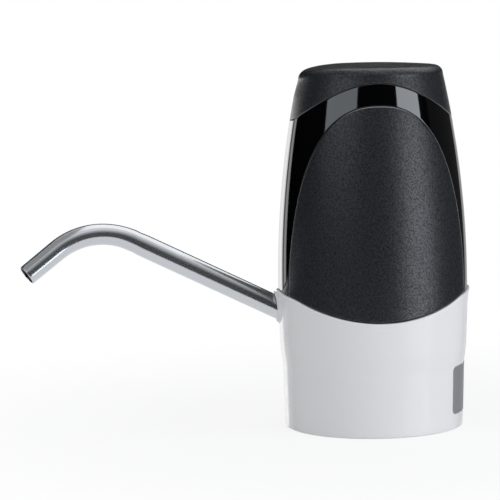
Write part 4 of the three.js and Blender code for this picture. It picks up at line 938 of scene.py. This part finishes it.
def makeButton():
    # A closed profile turned about Z; the dish deepens with the square of the way in
    top, edge, radius = form["height"], button["round"], button["radius"]
    inside, under, rim = radius - button["skirt"], top - button["plate"], top - button["drop"]
    rows = [(0.0, button["stemFoot"]), (button["stem"], button["stemFoot"]), (button["stem"], under),
            (inside, under), (inside, button["flangeFoot"]),
            (button["flange"], button["flangeFoot"]), (button["flange"], button["flangeTop"]),
            (radius, button["flangeTop"]), (radius, top - button["dish"] - edge)]
    rows += [(radius - edge * back, rim - edge * down) for back, down in quarterRound(button["roundRows"])]
    deep = button["dish"] - button["drop"]
    rows += [(r, rim - deep * (1 - (r / (radius - edge)) ** 2))
             for r in spread(radius - edge, 0, button["dishRows"])[1:]]
    turn = turnsOf(button["turns"])
    grid = np.array([ring(r, z, turn) for r, z in rows])
    return addPiece("pushButton", [(grid, False, True)], "charcoalGrain", "button",
                    ["push_button"])


# Label: a thin patch with round corners on the base's rear, wrapped round the wall; halfTurn in degrees
label = {"halfTurn": 35.5, "foot": 0.0056, "head": 0.0228, "corner": 0.002, "glue": 0.00002,
         "thick": 0.00014, "rows": 32, "cols": 80}


def makeLabelPatch():
    # A rounded rectangle in the unrolled wall: each row's half width shrinks inside the corners
    middle, half = (label["foot"] + label["head"]) / 2, (label["head"] - label["foot"]) / 2
    z = middle + half * np.sin(spread(-halfPi, halfPi, label["rows"]))
    inside = np.clip(np.abs(z - middle) - (half - label["corner"]), 0, label["corner"])
    width = math.radians(label["halfTurn"]) * form["rimRadius"]
    reach = width - label["corner"] + np.sqrt(label["corner"] ** 2 - inside ** 2)
    turn = halfPi + reach[:, None] * spread(-1, 1, label["cols"]) / form["rimRadius"]
    z = z[:, None]
    sheets = [ring(baseRadius(z) + lift, z, turn) for lift in (label["glue"], label["thick"])]
    sides = (np.s_[0], np.s_[-1], np.s_[:, 0], np.s_[:, -1])
    edges = [np.array([sheets[0][side], sheets[1][side]]) for side in sides]
    grids = [(sheet, False, False) for sheet in sheets + edges]
    return addPiece("rearLabel", grids, "label", "pump")


basePiece = makeBaseShell()
boreRadius = boss["bore"] + boss["cutSpare"]
cutAway(basePiece, *rodCutter(spoutEntry, spoutAxis, boreRadius, -boss["cutIn"], boss["cutOut"]))
makeBoss()
makeSpoutTube()
makePanel("sidePanelLeft", -1, "side_panel_left")
makePanel("sidePanelRight", 1, "side_panel_right")
makeHousing()
makeCap()
makeButton()
makeLabelPatch()
print("pieces done")


# Studio: a pale floor, softboxes on both sides of the camera, panels that only light, and cards to mirror
studio = {"floorZ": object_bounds()[0][2], "floorSize": 6.0, "floorAlbedo": 0.9, "floorWhite": 0.82,
          "whiteStart": 0.05, "whiteFull": 0.24, "worldFill": 0.5, "lampColor": (0.94, 1.0, 1.07),
          "aim": 0.04}
# Turn and rise in degrees from the camera side, distance, width and height in metres, power in watts
lamps = {
    "rightSoftbox": (51.5, 0, 1.0, 0.64, 0.85, 6.2),
    "rightPanel": (74, 0, 1.0, 0.18, 0.85, 1.8),
    "leftSoftbox": (-50, 22, 1.0, 0.82, 0.34, 1.4),
    "topPanel": (0, 86, 1.1, 0.5, 0.84, 2.0),
    "backPanel": (165, 35, 1.2, 0.9, 0.6, 0.5),
}


def addLamp(name):
    # Softboxes show in what the pump mirrors, panels don't
    turn, rise, distance, width, height, power = lamps[name]
    data = bpy.data.lights.new(name, "AREA")
    data.shape, data.size, data.size_y, data.energy = "RECTANGLE", width, height, power
    data.color = studio["lampColor"]
    lamp = addObject(name, data)
    turn, rise = math.radians(turn), math.radians(rise)
    away = Vector((math.sin(turn) * math.cos(rise), -math.cos(turn) * math.cos(rise), math.sin(rise)))
    lamp.location = Vector((0, 0, studio["aim"])) + away * distance
    lamp.visible_camera = False
    lamp.visible_glossy = "Softbox" in name
    lamp.rotation_euler = (-away).to_track_quat("-Z", "Y").to_euler()


def addFloor():
    size = studio["floorSize"]
    mesh = bpy.data.meshes.new("floor")
    corners = [(-size, -size, 0), (size, -size, 0), (size, size, 0), (-size, size, 0)]
    mesh.from_pydata(corners, [], [(0, 1, 2, 3)])
    floor = addObject("floor", mesh)
    floor.location.z = studio["floorZ"]
    floor.visible_glossy = False
    look = Finish("floorWhite")
    lit = look.node("BsdfDiffuse", Color=grey(studio["floorAlbedo"]))
    white = look.node("Emission", Color=grey(1), Strength=1.0)
    # Seen by the camera, the floor turns from its lit self near the object to plain white further out
    far = look.node("VectorMath", {"operation": "LENGTH"}, "Value", Vector=look.place())
    fade = look.node("MapRange", {"interpolation_type": "SMOOTHSTEP"}, Value=far, ToMax=1.0,
                     FromMin=studio["whiteStart"], FromMax=studio["whiteFull"], ToMin=studio["floorWhite"])
    seen = look.node("LightPath", output="IsCameraRay")
    mesh.materials.append(look.close(look.node("MixShader", Fac=seen * fade, Shader=lit, Shader_001=white)))


# Cards round the pump, seen only in what it mirrors. Most are parts of one upright cylinder, given as
# (first turn, last turn, foot, head, light below glowFoot, light at the head)
walls = {
    "front": (-105, 85, -0.7, 2.4, 0, 0.7),
    "rightDim": (85, 146, -0.7, 1.0, 0.045, 0.045),
    "right": (146, 170, -0.5, 0.15, 0.6, 0.6),
    "back": (146, 211, 0.15, 1.6, 0, 0),
    "backHigh": (211, 224, 0.45, 1.6, 0, 0),
    "backLeft": (224, 255, 0.15, 1.6, 0, 0),
    "leftDark": (-136, -105, -0.7, 0.15, 0, 0),
    "leftLine": (-143, -136, -0.4, 0.45, 1.15, 1.15),
    "leftGap": (-149, -143, -0.4, 0.45, 0.35, 0.35),
    "leftGlow": (-161, -149, -0.4, 0.15, 2.4, 2.4),
    "leftRim": (-170, -161, -0.4, 0.15, 1.7, 1.7),
}
# Level cards overhead: (first x, last x, first y, last y, height, light)
roofs = {"roofGlow": (-0.25, 1.9, -0.12, 1.3, 1.1, 1.6), "roofGrey": (-2.4, -0.35, -1.2, 1.2, 1.9, 0.35)}
cards = {"radius": 1.7, "steps": 72, "glowFoot": 0.8, "glowRise": 0.7}


def addCard(name, grid, foot, head, low, high):
    # Light low up to the height foot, then rising to high at the height head
    mesh = bpy.data.meshes.new(name + "Card")
    mesh.from_pydata(grid.reshape(-1, 3).tolist(), [], gridFaces(2, grid.shape[1], False, False).tolist())
    card = addObject(name + "Card", mesh)
    look = Finish(name + "Light")
    height = look.node("SeparateXYZ", output="Z", Vector=look.place())
    light = look.node("MapRange", Value=height, FromMin=foot, FromMax=head, ToMin=low, ToMax=high)
    if high > low:
        light = light ** cards["glowRise"]
    mesh.materials.append(look.close(look.node("Emission", Color=light, Strength=1.0)))
    for ray in ("camera", "transmission", "diffuse", "shadow"):
        setattr(card, "visible_" + ray, False)


def addWall(name):
    first, last, foot, head, low, high = walls[name]
    turn = np.radians(spread(first, last, cards["steps"]))
    x, y = cards["radius"] * np.sin(turn), -cards["radius"] * np.cos(turn)
    grid = np.stack([np.stack([x, y, np.full_like(turn, z)], axis=-1) for z in (foot, head)])
    addCard(name, grid, cards["glowFoot"], head, low, high)


def addRoof(name):
    near, far, front, back, height, light = roofs[name]
    grid = np.array([[(x, y, height) for x in (near, far)] for y in (front, back)])
    addCard(name, grid, 0.0, height, light, light)


def addWorld():
    # White to the camera and in what mirrors or lets light through, and a soft fill for everything else
    sky = Finish("studio", "worlds")
    bpy.context.scene.world = sky.owner
    seen = [sky.node("LightPath", output=ray) for ray in ("IsCameraRay", "IsGlossyRay", "IsTransmissionRay")]
    shown = seen[0].most(seen[1]).most(seen[2])
    fill = studio["worldFill"]
    sky.close(sky.node("Background", Color=grey(1), Strength=shown * (1 - fill) + fill), "OutputWorld")


addFloor()
for wallName in walls:
    addWall(wallName)
for roofName in roofs:
    addRoof(roofName)
addWorld()
for lampName in lamps:
    addLamp(lampName)
bpy.context.scene.view_settings.view_transform = "Standard"
print("studio done")
